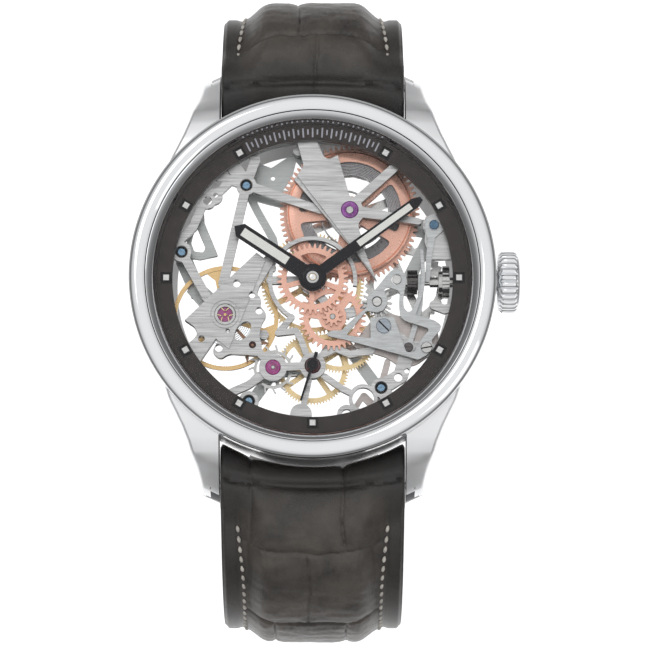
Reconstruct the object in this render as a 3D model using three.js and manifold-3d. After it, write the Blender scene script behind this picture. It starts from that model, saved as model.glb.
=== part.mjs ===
// Skeletonised hand-wound wristwatch: case, movement, hands and an open leather strap.
// Millimetres. The origin is the centre of the case back's outer face, +Z is out of the dial,
// +Y is 12 o'clock and +X is the crown.
import * as THREE from 'three';
import { mergeVertices } from 'three/addons/utils/BufferGeometryUtils.js';
import Module from 'manifold-3d';

const wasm = await Module();
wasm.setup();

// ---------------------------------------------------------------- driving dimensions
const CASE_R = 21;
const CASE_BORE_R = 18;
const CASE_BOTTOM = 1.25;
const CASE_TOP = 8.6;
const BEZEL_R = 21.05;
const BEZEL_TOP = 11.2;
const GLASS_R = 18.2;
const BACK_GLASS_R = 16;

const LUG_GAP = 21.4;
const BAR_Y = 23.3;
const BAR_Z = 3;
const BAR_R = 0.75;

const PLATE_R = 17.9;
const PLATE_INNER_R = 16.15;
const PLATE_UNDER = 6;
const PLATE_TOP = 7;
const BLADE_TOP = 7.6;
const BRIDGE_UNDER = 2.9;
const BRIDGE_TOP = 3.85;

const CHAPTER_OUTER_R = 17.95;
const CHAPTER_INNER_R = 16.1;
const CHAPTER_UNDER = 7.4;
const MARKER_R = 16.8;
const MARKER_SIDE = 0.9;

const STEM_Z = 5.3;
const STEM_R = 0.6;
const CROWN_R = 3.6;
const CROWN_START = 21.25;
const CROWN_END = 23.95;
const CROWN_FLUTES = 26;

const BARREL = [4.27, 8.11];
const THIRD = [3.13, -5.98];
const FOURTH = [0, -10];
const ESCAPE = [-4.55, -10.2];
const PALLET = [-6.9, -7.6];
const BALANCE = [-10.05, -4.1];
const MINUTE_POST = [2.29, -4.39];
const SETTING_POST = [7.4, -2.67];
const CROWN_WHEEL = [10.75, 0];

const HOUR_HAND_ANGLE = 303.5;
const MINUTE_HAND_ANGLE = 53.8;
const SECONDS_HAND_ANGLE = 198;

const SCREW_A = [-7.66, 11.11];
const SCREW_B = [-15.1, 3.3];
const SCREW_C = [-7.33, -14.05];
const SCREW_D = [7.86, -12.5];
const SCREW_E = [13.98, 6.36];
const COVER_SCREW = [8.15, -5.52];
const YOKE_SCREW = [10.99, -7.89];
const EDGE_SCREW = [13.07, -8.03];

const STRAP_WIDTH = 21.2;
const STRAP_END_WIDTH = 18;
const STRAP_EDGE = 1.25;
const STRAP_PAD = 3.3;
const ROLL_R = 3;
const ROLL_WAIST_R = 2.2;
const BEND_12 = 8.5;
const BEND_6 = 13.8;
const LEAN_12 = 7;
const LENGTH_12 = 80;
const LENGTH_6 = 104;
const KEEPER_WIDTH = 6;

const DEG = Math.PI / 180;

// ---------------------------------------------------------------- materials
const paint = (color, roughness, metalness) =>
  new THREE.MeshStandardMaterial({ color, roughness, metalness });
const polished = paint(0xd8dadc, 0.12, 1);
const brushed = paint(0xb9bcbf, 0.35, 1);
const steel = paint(0x8f9498, 0.3, 1);
const roseGold = paint(0xe8a68c, 0.25, 1);
const brass = paint(0xd9b56a, 0.3, 1);
const orangeGold = paint(0xe0903c, 0.28, 1);
const blued = paint(0x2d5578, 0.25, 1);
const ruby = paint(0xb02a8c, 0.1, 0);
const dial = paint(0x37302c, 0.45, 0.4);
const handBlack = paint(0x1b1b20, 0.25, 0.3);
const leather = paint(0x2e2a27, 0.55, 0);
const glass = new THREE.MeshStandardMaterial({
  color: 0xeef4f6, roughness: 0.02, metalness: 0, transparent: true, opacity: 0.15,
});

// ---------------------------------------------------------------- solid helpers
function toSolid(geometry) {
  const plain = new THREE.BufferGeometry();
  plain.setAttribute('position', geometry.getAttribute('position'));
  if (geometry.index) plain.setIndex(geometry.index);
  const merged = mergeVertices(plain, 1e-5);
  const position = merged.getAttribute('position').array;
  const kept = [];
  const index = merged.index.array;
  for (let i = 0; i < index.length; i += 3) {
    const [a, b, c] = [index[i], index[i + 1], index[i + 2]];
    if (a !== b && b !== c && a !== c) kept.push(a, b, c);
  }
  const mesh = new wasm.Mesh({
    numProp: 3,
    vertProperties: new Float32Array(position),
    triVerts: new Uint32Array(kept),
  });
  return new wasm.Manifold(mesh);
}

const bearing = (from, to) => Math.atan2(to[1] - from[1], to[0] - from[0]);
const polar = (centre, radius, angle) => [
  centre[0] + radius * Math.cos(angle),
  centre[1] + radius * Math.sin(angle),
];

const unite = (solids) => solids.reduce((whole, solid) => whole.add(solid));
const cutAll = (solid, tools) => tools.reduce((left, tool) => left.subtract(tool), solid);

function prism(points, low, high) {
  const shape = new THREE.Shape(points.map(([x, y]) => new THREE.Vector2(x, y)));
  const options = { depth: high - low, bevelEnabled: false, curveSegments: 1 };
  return toSolid(new THREE.ExtrudeGeometry(shape, options).translate(0, 0, low));
}

function circle(radius, centre = [0, 0], sides = 16, turn = 0) {
  return Array.from({ length: sides }, (_, i) => {
    const a = turn + (i / sides) * 2 * Math.PI;
    return [centre[0] + radius * Math.cos(a), centre[1] + radius * Math.sin(a)];
  });
}

const disc = (radius, low, high, centre = [0, 0], sides = 14) =>
  prism(circle(radius, centre, sides), low, high);

function ring(outer, inner, low, high, centre = [0, 0], sides = 24) {
  return disc(outer, low, high, centre, sides).subtract(disc(inner, low - 1, high + 1, centre, sides));
}

function lathe(profile, sides = 48) {
  const points = profile.map(([r, z]) => new THREE.Vector2(r, z));
  return toSolid(new THREE.LatheGeometry(points, sides).rotateX(Math.PI / 2));
}

// A flat ribbon through the given points, mitred at the bends and a little longer at each end.
function path(points, width, low, high, endWidth = width) {
  const last = points.length - 1;
  const [left, right] = [[], []];
  points.forEach((point, i) => {
    const before = points[Math.max(i - 1, 0)];
    const after = points[Math.min(i + 1, last)];
    const inward = bearing(i ? before : point, i ? point : after);
    const outward = bearing(i < last ? point : before, after);
    const half = (width + (endWidth - width) * (i / last)) / 2;
    const mitre = half / Math.max(Math.cos((outward - inward) / 2), 0.5);
    const heading = (inward + outward) / 2 + (Math.abs(outward - inward) > Math.PI ? Math.PI : 0);
    const reach = i === 0 ? -half * 0.7 : i === last ? half * 0.7 : 0;
    const corner = polar(point, reach, heading);
    left.push(polar(corner, mitre, heading + Math.PI / 2));
    right.push(polar(corner, mitre, heading - Math.PI / 2));
  });
  return prism([...right, ...left.reverse()], low, high);
}

const strut = (a, b, width, low, high, endWidth = width) => path([a, b], width, low, high, endWidth);

// A toothed outline. Each tooth has a tip of the given share of the pitch, zero makes it pointed.
function toothed(teeth, tip, root, tipShare, rootShare, centre = [0, 0], turn = 0) {
  const points = [];
  for (let i = 0; i < teeth; i++) {
    const middle = turn + (i / teeth) * 2 * Math.PI;
    const step = (2 * Math.PI) / teeth;
    const corners = tipShare > 0
      ? [[root, -rootShare / 2], [tip, -tipShare / 2], [tip, tipShare / 2], [root, rootShare / 2]]
      : [[tip, 0], [root, 0.5]];
    for (const [r, share] of corners) {
      const a = middle + share * step;
      points.push([centre[0] + r * Math.cos(a), centre[1] + r * Math.sin(a)]);
    }
  }
  return points;
}

// Rounded windows between spokes, cut through a wheel.
function windows(count, inner, outer, spoke, centre, turn, low, high) {
  const tools = [];
  for (let i = 0; i < count; i++) {
    const start = turn + (i / count) * 2 * Math.PI;
    const end = start + (2 * Math.PI) / count;
    const points = [];
    const steps = 4;
    for (let k = 0; k <= steps; k++) {
      const a = start + spoke / outer + ((end - start - (2 * spoke) / outer) * k) / steps;
      points.push(polar(centre, outer, a));
    }
    for (let k = 2; k >= 0; k--) {
      const a = start + spoke / inner + ((end - start - (2 * spoke) / inner) * k) / 2;
      points.push(polar(centre, inner, a));
    }
    tools.push(prism(points, low, high));
  }
  return tools;
}

// Turns a solid drawn along +Z so that it lies along +X.
const alongX = (solid) => solid.rotate([0, 90, 0]);

const watch = new THREE.Group();
watch.name = 'wristwatch';

function place(name, solid, material) {
  const data = solid.asOriginal().simplify(0.012).getMesh();
  const geometry = new THREE.BufferGeometry();
  const vertices = [];
  for (let i = 0; i < data.vertProperties.length; i += data.numProp) {
    vertices.push(...data.vertProperties.slice(i, i + 3));
  }
  geometry.setAttribute('position', new THREE.Float32BufferAttribute(vertices, 3));
  geometry.setIndex(Array.from(data.triVerts));
  geometry.computeVertexNormals();
  const mesh = new THREE.Mesh(geometry, material);
  mesh.name = name;
  watch.add(mesh);
}

// ---------------------------------------------------------------- case
function lug(sideX, sideY) {
  const plan = [
    [LUG_GAP / 2, 12], [LUG_GAP / 2, 25.1], [12, 25.1], [12.7, 23.4], [13.4, 20.9],
    [14.2, 18.6], [15.2, 16.3], [16.5, 14], [17.4, 12],
  ];
  const profile = [
    [12, 1.3], [20, 1.25], [22.4, 0.7], [24.2, 0.3], [25.05, 0.3], [25.05, 0.8],
    [24.2, 2.5], [22.4, 4.7], [20, 6.6], [16, 8.2], [12, 8.3],
  ];
  const side = prism(profile, 0, 30).rotate([90, 0, 90]);
  const solid = prism(plan, 0, 9).intersect(side);
  return solid.scale([sideX, sideY, 1]);
}

const caseProfile = [
  [CASE_BORE_R, CASE_BOTTOM], [20.1, CASE_BOTTOM], [CASE_R, 2.4],
  [CASE_R, 7.8], [20.55, CASE_TOP], [CASE_BORE_R, CASE_TOP], [CASE_BORE_R, CASE_BOTTOM],
];
let caseMiddle = unite([lathe(caseProfile), lug(1, 1), lug(-1, 1), lug(1, -1), lug(-1, -1)]);
caseMiddle = caseMiddle.add(alongX(disc(1.3, 20.5, 21.7, [0, 0], 20)).translate([0, 0, STEM_Z]));
caseMiddle = cutAll(caseMiddle, [
  disc(CASE_BORE_R, 0, 9, [0, 0], 48),
  alongX(disc(STEM_R + 0.06, 15, 23, [0, 0], 20)).translate([0, 0, STEM_Z]),
  ...[-1, 1].map((s) =>
    alongX(disc(0.45, -LUG_GAP / 2 - 1.1, LUG_GAP / 2 + 1.1, [0, 0], 12)).translate([0, s * BAR_Y, BAR_Z])),
]);
place('case_middle', caseMiddle, polished);

const bezelProfile = [
  [CHAPTER_OUTER_R, CASE_TOP], [BEZEL_R, CASE_TOP], [BEZEL_R, 9.7], [20.75, 10.75],
  [20.1, BEZEL_TOP], [19.6, 11.05], [19.25, 10.75], [18.25, 10.35], [18.25, 9.4],
  [CHAPTER_OUTER_R, 9.4], [CHAPTER_OUTER_R, CASE_TOP],
];
place('bezel', lathe(bezelProfile), polished);
place('crystal', lathe([[0, 9.4], [GLASS_R, 9.4], [GLASS_R, 10.5], [10, 10.95], [0, 11.05]]), glass);

const backProfile = [
  [BACK_GLASS_R + 0.02, 0], [19.2, 0], [19.6, 0.35], [19.6, CASE_BOTTOM], [CASE_BORE_R - 0.03, CASE_BOTTOM],
  [CASE_BORE_R - 0.03, 2.4], [16.8, 2.4], [BACK_GLASS_R - 0.3, 1.15], [BACK_GLASS_R + 0.02, 1.15],
  [BACK_GLASS_R + 0.02, 0],
];
place('case_back', lathe(backProfile), polished);
place('case_back_crystal', disc(BACK_GLASS_R, 0, 1.15, [0, 0], 48), glass);

// ---------------------------------------------------------------- chapter ring with its hour markers
function hourMarker(hour) {
  const [s, h] = [MARKER_SIDE / 2, 0.65];
  const box = (half, low, high) => prism([[-half, -half], [half, -half], [half, half], [-half, half]],
    low, high).translate([0, MARKER_R, 0]).rotate([0, 0, -30 * hour]);
  return { notch: box(h, 8.3, 9), stud: box(s, 8.2, 8.8) };
}
const markers = Array.from({ length: 11 }, (_, i) => hourMarker(i + 1));
let chapter = lathe([
  [CHAPTER_INNER_R, CHAPTER_UNDER], [CHAPTER_OUTER_R - 0.02, CHAPTER_UNDER],
  [CHAPTER_OUTER_R - 0.02, CASE_TOP], [CHAPTER_INNER_R, CASE_TOP - 0.15], [CHAPTER_INNER_R, CHAPTER_UNDER],
]);
chapter = cutAll(chapter, markers.map((marker) => marker.notch));
place('chapter_ring', unite([chapter, ...markers.map((marker) => marker.stud)]), dial);

// ---------------------------------------------------------------- mainplate
const bladeOutline = [
  [-1.8, 16.4], [0.5, 16.4], [1.3, 14.3], [1.9, 14], [2.9, 14.5], [4.2, 9.8], [5.6, 8.9],
  [5.9, 7.3], [5.2, 6.5], [5.9, 3.5], [7.35, -0.15], [4.9, 3.2], [0.59, 8.4], [-2.13, 11.63], [-1.02, 13.24],
];
const kiteOutline = [
  [-6.45, 3.1], [-14.67, -4.74], [-13.48, -5.54], [-14.4, -7.15], [-12.95, -9.9],
  [-11.29, -6.86], [-9.68, -8.05], [-5.4, 2.3],
];
const sideOutline = [
  [-5.4, 2.3], [-4.9, 3.1], [-4.5, 1.93], [-6.3, -1], [-6.4, -1.7], [-6, -2], [-6.2, -3.1],
  [-5.3, -4.25], [-6, -5.2], [-6.16, -6.6], [-5.8, -8.2], [-5.8, -9.1], [-9.68, -8.1],
];
const arcPoints = (radius, from, to, steps) => Array.from({ length: steps + 1 }, (_, i) =>
  polar([0, 0], radius, (from + ((to - from) * i) / steps) * DEG));

const bladeLayer = [
  prism(bladeOutline, PLATE_UNDER, BLADE_TOP),
  disc(1.5, PLATE_UNDER, BLADE_TOP, BARREL, 14),
  strut([4.9, 9], [9.6, 13.3], 1.1, PLATE_UNDER, BLADE_TOP),
  strut([5.4, 7.9], [12.2, 6.75], 1.3, PLATE_UNDER, BLADE_TOP, 0.7),
  prism(kiteOutline, PLATE_UNDER, BLADE_TOP),
  disc(1.9, PLATE_UNDER, BLADE_TOP, BALANCE, 14),
  prism(sideOutline, PLATE_UNDER, 7.4),
  disc(1.05, PLATE_UNDER, 7.4, PALLET, 14),
  disc(1.6, PLATE_UNDER, 7.4, ESCAPE, 14),
  disc(1.95, PLATE_UNDER, 7.4, FOURTH, 14),
];
const baseLayer = [
  ...[SCREW_A, SCREW_B, SCREW_C, SCREW_D].map((at) => disc(1.15, PLATE_UNDER, PLATE_TOP, at, 14)),
  disc(1.3, PLATE_UNDER, PLATE_TOP, SCREW_E, 14),
  path([SCREW_A, [-6.6, 14.1], [-6.9, 15.2]], 1.1, PLATE_UNDER, PLATE_TOP),
  path([SCREW_A, [-10.6, 12.1], [-12, 11.6]], 1.05, PLATE_UNDER, PLATE_TOP),
  strut(SCREW_A, [0.9, 8.2], 1.1, PLATE_UNDER, PLATE_TOP, 0.9),
  strut(SCREW_A, [-10.3, -0.4], 1.1, PLATE_UNDER, PLATE_TOP),
  strut(SCREW_B, [-12.1, -2.1], 1.05, PLATE_UNDER, PLATE_TOP),
  path([[-12.13, 9.29], [-12.76, 8.71], [-13.78, 6.2], [-15.3, 4.7], SCREW_B], 1, PLATE_UNDER, PLATE_TOP),
  disc(0.95, PLATE_UNDER, PLATE_TOP, [-12.13, 9.29], 14),
  path([[-12.13, 9.29], [-11.22, 9.94], [-9.6, 11.5]], 0.95, PLATE_UNDER, PLATE_TOP),
  path(arcPoints(4.9, -8, 242, 20), 0.55, PLATE_UNDER, PLATE_TOP),
  strut([-0.6, 4.9], [2.2, 6.5], 0.7, PLATE_UNDER, PLATE_TOP),
  strut([-4.6, 1.6], [-5.3, 2.4], 0.8, PLATE_UNDER, PLATE_TOP),
  disc(1.6, PLATE_UNDER, 6.9, [0, 0], 14),
  strut([0, 0], [-4.9, 0], 0.9, PLATE_UNDER, 6.9),
  strut([0, 0], MINUTE_POST, 0.9, PLATE_UNDER, 6.9),
  disc(0.9, PLATE_UNDER, PLATE_TOP, MINUTE_POST, 14),
  path([[-2.4, -4.3], [-3.99, -6.14], [-1.9, -5.9], [-1.3, -7], [-0.8, -8.4]], 0.7, PLATE_UNDER, PLATE_TOP),
  path([[-0.4, -11.5], [-1.08, -14.92], [-1.2, -16.4]], 0.7, PLATE_UNDER, PLATE_TOP),
  disc(1.25, PLATE_UNDER, PLATE_TOP, [-1.33, -15.6], 14),
  path([[1.4, -11.2], [3.4, -12.6], [4.6, -13.2]], 0.7, PLATE_UNDER, PLATE_TOP),
  disc(1.65, PLATE_UNDER, PLATE_TOP, [5.8, -13.75], 14),
  disc(1.1, PLATE_UNDER, PLATE_TOP, [3.9, -15.6], 14),
  path([[1.2, -8.6], [2.6, -7.9], [4.3, -8.64], [6.7, -8.2], COVER_SCREW], 0.8, PLATE_UNDER, PLATE_TOP),
  strut(ESCAPE, FOURTH, 0.9, PLATE_UNDER, PLATE_TOP),
  strut(ESCAPE, PALLET, 0.9, PLATE_UNDER, PLATE_TOP),
  path([ESCAPE, [-7.4, -12.2], [-9.24, -13], [-9.6, -13.4]], 0.9, PLATE_UNDER, PLATE_TOP),
  disc(1.15, PLATE_UNDER, PLATE_TOP, COVER_SCREW, 14),
  path([COVER_SCREW, YOKE_SCREW, EDGE_SCREW, [13.9, -8.6]], 1.7, PLATE_UNDER, PLATE_TOP),
  path([YOKE_SCREW, [10.1, -11.1], SCREW_D], 1.7, PLATE_UNDER, PLATE_TOP),
  path([MINUTE_POST, [5.4, -3.4], SETTING_POST], 1.1, PLATE_UNDER, PLATE_TOP),
  path([SETTING_POST, COVER_SCREW], 1.2, PLATE_UNDER, PLATE_TOP),
  disc(0.85, PLATE_UNDER, PLATE_TOP, SETTING_POST, 14),
  prism([[13.6, 2.4], [12.9, 4.4], [13, 7.4], [15.3, 6.9], [16.4, 4], [16.6, 2.4]], PLATE_UNDER, PLATE_TOP),
  path([[13.9, -2.9], [15.2, -3.4], [16.2, -2.4]], 1, PLATE_UNDER, PLATE_TOP),
];
const pillars = [SCREW_A, SCREW_C, SCREW_D, SCREW_E].map((at) => disc(0.9, BRIDGE_TOP, PLATE_UNDER, at, 10));
const smallPillars = [[-1.7, 15.3], SCREW_B, [-5.6, -6.2], [-9, -7.95]];
const rim = unite([
  ring(PLATE_R, PLATE_INNER_R, 2.4, PLATE_TOP, [0, 0], 48),
  ring(PLATE_R, 17, PLATE_TOP, CHAPTER_UNDER, [0, 0], 48),
]);
const rimCuts = [
  disc(8.4, 4.2, 5.95, BARREL, 24),
  disc(6.4, 4.1, 5.05, BALANCE, 20),
  alongX(disc(STEM_R + 0.06, 12, 20, [0, 0], 10)).translate([0, 0, STEM_Z]),
  prism([[13, -2.3], [16.3, -2.3], [16.3, 2.3], [13, 2.3]], 2, 9),
];
const plateHoles = [
  [-8.72, -0.48, 0.45], [-6.97, -1.8, 0.4], [-6.16, -3.93, 0.4], [-12.76, -6.93, 0.4],
  [-9.75, -5.98, 0.25], [-10.77, -7.95, 0.35], [-12.13, 9.29, 0.5], [-11.22, 9.94, 0.28],
  [5.8, -13.75, 1.2], [9.82, -11.3, 0.5], [3.9, -15.6, 0.6],
];
const ovalHole = circle(1, [0, 0], 12).map(([x, y]) => {
  const [u, v] = [x * 1.25, y * 0.75];
  const [c, s] = [Math.cos(55 * DEG), Math.sin(55 * DEG)];
  return [-8 + u * c - v * s, -5.98 + u * s + v * c];
});
const bladeGroove = path([[-2, 12.2], [3.68, 4.75], [6.9, 0.5]], 0.22, BLADE_TOP - 0.25, BLADE_TOP + 1);
const countersinks = [SCREW_A, SCREW_B, SCREW_C, SCREW_D].map((at) => disc(0.75, 6.55, 8, at, 10));
let mainplate = unite([
  unite(bladeLayer).intersect(disc(CHAPTER_INNER_R - 0.05, 0, 9, [0, 0], 48)),
  unite(baseLayer).intersect(disc(17, 0, 9, [0, 0], 48)),
  rim, ...pillars,
  ...smallPillars.map((at, i) => disc(0.55, i < 2 ? BRIDGE_TOP : 5.3, PLATE_UNDER, at, 14)),
]);
mainplate = cutAll(mainplate, [
  ...rimCuts,
  ...plateHoles.map(([x, y, r]) => disc(r, 5, 9, [x, y], 9)),
  prism(ovalHole, 5, 9),
  bladeGroove,
  ...countersinks,
  disc(1.27, 5, 9, BALANCE, 14), disc(1.02, 5, 9, BARREL, 14), disc(0.42, 5, 9, PALLET, 10),
  disc(0.9, 5, 9, ESCAPE, 14), disc(0.94, 5, 9, FOURTH, 14), disc(0.63, 5, 9, [0, 0], 14),
]);
mainplate = unite([
  mainplate,
  disc(0.3, 6.8, 7.95, MINUTE_POST, 14),
  disc(0.42, 6.8, 7.55, SETTING_POST, 14),
  disc(0.4, 6.8, 7.4, SCREW_E, 12), disc(0.4, 6.8, 7.4, YOKE_SCREW, 12),
  disc(0.9, 6.9, 7.6, COVER_SCREW, 14), disc(0.7, 6.9, 7.6, EDGE_SCREW, 10),
]);
mainplate = cutAll(mainplate, [
  disc(0.32, 7.05, 9, COVER_SCREW, 10), disc(0.3, 7.05, 9, EDGE_SCREW, 10),
]);
place('mainplate', mainplate, brushed);

// ---------------------------------------------------------------- bridges on the back side
const insidePlate = (solid) => solid.intersect(disc(PLATE_INNER_R - 0.1, 0, 9, [0, 0], 48));
const barrelBridge = cutAll(unite([
  strut(SCREW_A, BARREL, 2, 3.3, BRIDGE_TOP, 2.2),
  strut(BARREL, SCREW_E, 2.2, 3.3, BRIDGE_TOP, 2),
  strut([-1.7, 15.3], BARREL, 1.4, 3.3, BRIDGE_TOP),
  strut(SCREW_E, CROWN_WHEEL, 1.5, 3.3, BRIDGE_TOP),
  prism([[-8, 11.6], [-6.7, 14.4], [-4.8, 13.7], [-3.6, 14.5], [-1.6, 15.8], [-2.4, 12.6], [-4.1, 10.2]],
    3.3, BRIDGE_TOP),
  path([SCREW_A, [-6.4, 8.6], [-4.6, 5.4], [-4.5, 4.9]], 0.9, 3.3, BRIDGE_TOP),
  disc(0.5, 2.4, BRIDGE_TOP, CROWN_WHEEL, 16),
]), [
  disc(0.27, 2, 5, [-4.62, 12.48], 12),
  disc(0.66, 2, 5, BARREL, 20),
]);
place('barrel_bridge', insidePlate(barrelBridge), brushed);

const trainBridge = cutAll(unite([
  strut(SCREW_D, THIRD, 1.3, BRIDGE_UNDER, BRIDGE_TOP),
  strut(THIRD, [0, 0], 1.3, BRIDGE_UNDER, BRIDGE_TOP),
  strut(THIRD, FOURTH, 1.2, BRIDGE_UNDER, BRIDGE_TOP),
  strut(FOURTH, ESCAPE, 1.2, BRIDGE_UNDER, BRIDGE_TOP),
  strut(ESCAPE, SCREW_C, 1.3, BRIDGE_UNDER, BRIDGE_TOP),
  disc(1.1, BRIDGE_UNDER, BRIDGE_TOP, [0, 0], 20),
]), [
  disc(0.35, 2, 5, [0, 0], 14), disc(0.2, 2, 5, THIRD, 12),
  disc(0.2, 2, 5, FOURTH, 12), disc(0.2, 2, 5, ESCAPE, 12),
]);
place('train_bridge', insidePlate(trainBridge), brushed);

const cock = unite([
  strut(SCREW_B, [-13.4, -0.6], 1.9, BRIDGE_UNDER, BRIDGE_TOP),
  strut([-13.4, -0.6], BALANCE, 1.9, BRIDGE_UNDER, BRIDGE_TOP, 2.6),
]).subtract(disc(0.2, 2, 5, BALANCE, 12));
place('balance_cock', insidePlate(cock), brushed);

const palletBridge = unite([
  strut([-5.6, -6.2], PALLET, 0.9, 5, 5.3),
  strut(PALLET, [-9, -7.95], 0.9, 5, 5.3),
]).subtract(disc(0.2, 4, 6, PALLET, 12));
place('pallet_bridge', palletBridge, brushed);

// ---------------------------------------------------------------- jewels and screws
function jewel(name, radius, bore, low, high, centre, material = ruby, sides = 14) {
  place(name, ring(radius, bore, low, high, centre, sides), material);
}
jewel('jewel_barrel', 1, 0.44, 6.3, BLADE_TOP + 0.05, BARREL);
jewel('jewel_balance', 1.25, 0.2, 6.3, BLADE_TOP + 0.05, BALANCE);
jewel('jewel_escape', 0.88, 0.2, 6.4, 7.45, ESCAPE);
jewel('jewel_seconds', 0.92, 0.23, 6.4, 7.45, FOURTH);
jewel('jewel_pallet', 0.4, 0.18, 6.4, 7.45, PALLET, ruby, 10);

function screw(name, centre, head, low, high, slot, turn, material) {
  const cut = prism([[-head - 1, -slot], [head + 1, -slot], [head + 1, slot], [-head - 1, slot]],
    high - 0.15, high + 1).rotate([0, 0, turn]).translate([centre[0], centre[1], 0]);
  place(name, disc(head, low, high, centre, 12).subtract(cut), material);
}
screw('screw_a', SCREW_A, 0.45, 6.55, 6.85, 0.07, 20, blued);
screw('screw_b', SCREW_B, 0.45, 6.55, 6.85, 0.07, -35, blued);
screw('screw_c', SCREW_C, 0.45, 6.55, 6.85, 0.07, 80, blued);
screw('screw_d', SCREW_D, 0.45, 6.55, 6.85, 0.07, 10, blued);
screw('screw_e', SCREW_E, 0.55, 7.4, 7.7, 0.08, 50, blued);
screw('yoke_screw', YOKE_SCREW, 0.55, 7.4, 7.58, 0.08, 0, steel);

// ---------------------------------------------------------------- keyless works on the dial side
const coverOutline = [
  [1.5, -6.45], [2.2, -6], [3.3, -6], [3.9, -5.4], [5.3, -4.1], [6.3, -3.3], [6.4, -2.2], [7.5, -0.9],
  [8.6, 0.5], [9.2, 1.05], [9.9, 1.05], [10.6, 0.6], [10.8, 0], [10.4, -2.4], [10.45, -3.4], [10.9, -3.9],
  [11.3, -3.8], [11.9, -2.6], [12.35, -1.2], [12.5, 0.6], [12.3, 3.4], [12.7, 3.4], [12.95, 0.6],
  [12.8, -1.4], [12.3, -2.9], [11.8, -4.2], [14.1, -4.9], [14.75, -5.45], [14.6, -6], [13.6, -7.2],
  [13.9, -8.1], [13.2, -8.8], [12.5, -9.2], [12.1, -9.45], [11, -9.1], [8.1, -8.3], [3.7, -7.1], [2, -6.75],
];
const coverWindow = [
  [4.6, -6.15], [6.5, -4.35], [7.3, -3.95], [7, -5.3], [7.1, -6.9], [6.6, -7.1], [5, -6.7],
];
const coverWindow2 = [
  [9.3, -4.9], [9.6, -4.4], [11.2, -5.1], [13.2, -5.75], [13.3, -6], [12.4, -7.1], [11.6, -8.6],
  [10.5, -8.4], [9.6, -7.6],
];
const coverPlate = cutAll(unite([
  prism(coverOutline, 7.62, 8),
  disc(1.15, 7.62, 8, [7.39, -2.67], 24),
]), [
  prism(coverWindow, 7, 9),
  prism(coverWindow2, 7, 9),
  disc(0.57, 7, 9, [9.66, -0.1], 20),
  disc(0.5, 7.85, 9, [7.39, -2.67], 20),
  disc(0.34, 7, 9, COVER_SCREW, 12),
  disc(0.32, 7, 9, EDGE_SCREW, 12),
]);
place('keyless_cover', coverPlate, steel);
for (const [name, at, head, shank] of [
  ['cover_screw', COVER_SCREW, 0.86, 0.28], ['edge_screw', EDGE_SCREW, 0.65, 0.26],
]) {
  const body = unite([disc(head, 8, 8.25, at, 24), disc(shank, 7.1, 8.05, at, 12)]);
  const slot = strut([at[0] - 1.2, at[1] + 0.9], [at[0] + 1.2, at[1] - 0.9], 0.16, 8.12, 9);
  place(name, body.subtract(slot), name === 'cover_screw' ? steel : polished);
}

const leverArm = [
  [12.95, -0.25], [13.45, -0.25], [13.7, 2.6], [14.1, 4.9], [15, 5.7], [15.05, 6.9], [14.2, 7.45],
  [13.1, 7.1], [12.9, 6], [13.25, 4.6], [13.05, 2.4],
];
const settingLever = unite([
  prism(leverArm, 7.05, 7.35),
  disc(0.2, 5.85, 7.1, [13.2, 0], 12),
]).subtract(disc(0.43, 6, 9, SCREW_E, 14));
place('setting_lever', settingLever, steel);

const yoke = unite([
  path([YOKE_SCREW, [11.7, -5.6], [12.35, -2.9], [12.45, 0.3]], 0.6, 7.05, 7.35),
  disc(0.75, 7.05, 7.35, YOKE_SCREW, 18),
  disc(0.12, 6.35, 7.1, [12.3, 0], 10),
]).subtract(disc(0.43, 6, 9, YOKE_SCREW, 14));
place('yoke', yoke, steel);

const atStem = (solid) => alongX(solid).translate([0, 0, STEM_Z]);
const crownOutline = [];
for (let i = 0; i < CROWN_FLUTES; i++) {
  for (const [r, share] of [[CROWN_R - 0.25, -0.5], [CROWN_R - 0.03, -0.2], [CROWN_R - 0.03, 0.2]]) {
    crownOutline.push(polar([0, 0], r, ((i + share) / CROWN_FLUTES) * 2 * Math.PI));
  }
}
const crown = cutAll(unite([
  prism(crownOutline, CROWN_START + 0.35, CROWN_END - 0.5),
  lathe([[0, CROWN_START], [3, CROWN_START], [3.3, CROWN_START + 0.36], [0, CROWN_START + 0.36]], 20),
  lathe([[0, 23.44], [3.3, 23.44], [3.1, 23.75], [2.2, CROWN_END], [0, CROWN_END]], 20),
]), [disc(1.45, CROWN_START - 1, 22.2, [0, 0], 20), disc(STEM_R + 0.005, 21, 23.2, [0, 0], 14)]);
place('crown', atStem(crown), polished);

const stem = lathe([
  [0, 10.3], [0.45, 10.3], [STEM_R - 0.01, 10.5], [STEM_R - 0.01, 12.85], [0.4, 12.85], [0.4, 13.5],
  [STEM_R - 0.01, 13.5], [STEM_R - 0.01, 23.2], [0, 23.2],
], 14);
place('winding_stem', atStem(stem), steel);

const windingPinion = unite([
  prism(toothed(16, 1.9, 1.45, 0.3, 0.5), 14.95, 15.75),
  disc(1.3, 14.5, 15, [0, 0], 20),
]).subtract(disc(STEM_R + 0.05, 14, 17, [0, 0], 14));
place('winding_pinion', atStem(windingPinion), steel);

const slidingPinion = unite([
  prism(toothed(14, 1.4, 1.1, 0.35, 0.5), 10.9, 12.05),
  disc(0.92, 12, 12.5, [0, 0], 18),
  disc(1.4, 12.48, 12.75, [0, 0], 20),
]).subtract(disc(STEM_R + 0.05, 10, 14, [0, 0], 14));
place('sliding_pinion', atStem(slidingPinion), steel);

const crownWheelRing = prism(toothed(40, 4.73, 4.4, 0, 0, CROWN_WHEEL), 2.65, 3.25);
place('crown_wheel', cutAll(crownWheelRing, [
  ...windows(4, 1.2, 3.7, 0.45, CROWN_WHEEL, 25 * DEG, 2, 4),
  disc(0.54, 2, 4, CROWN_WHEEL, 16),
]), steel);

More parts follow.
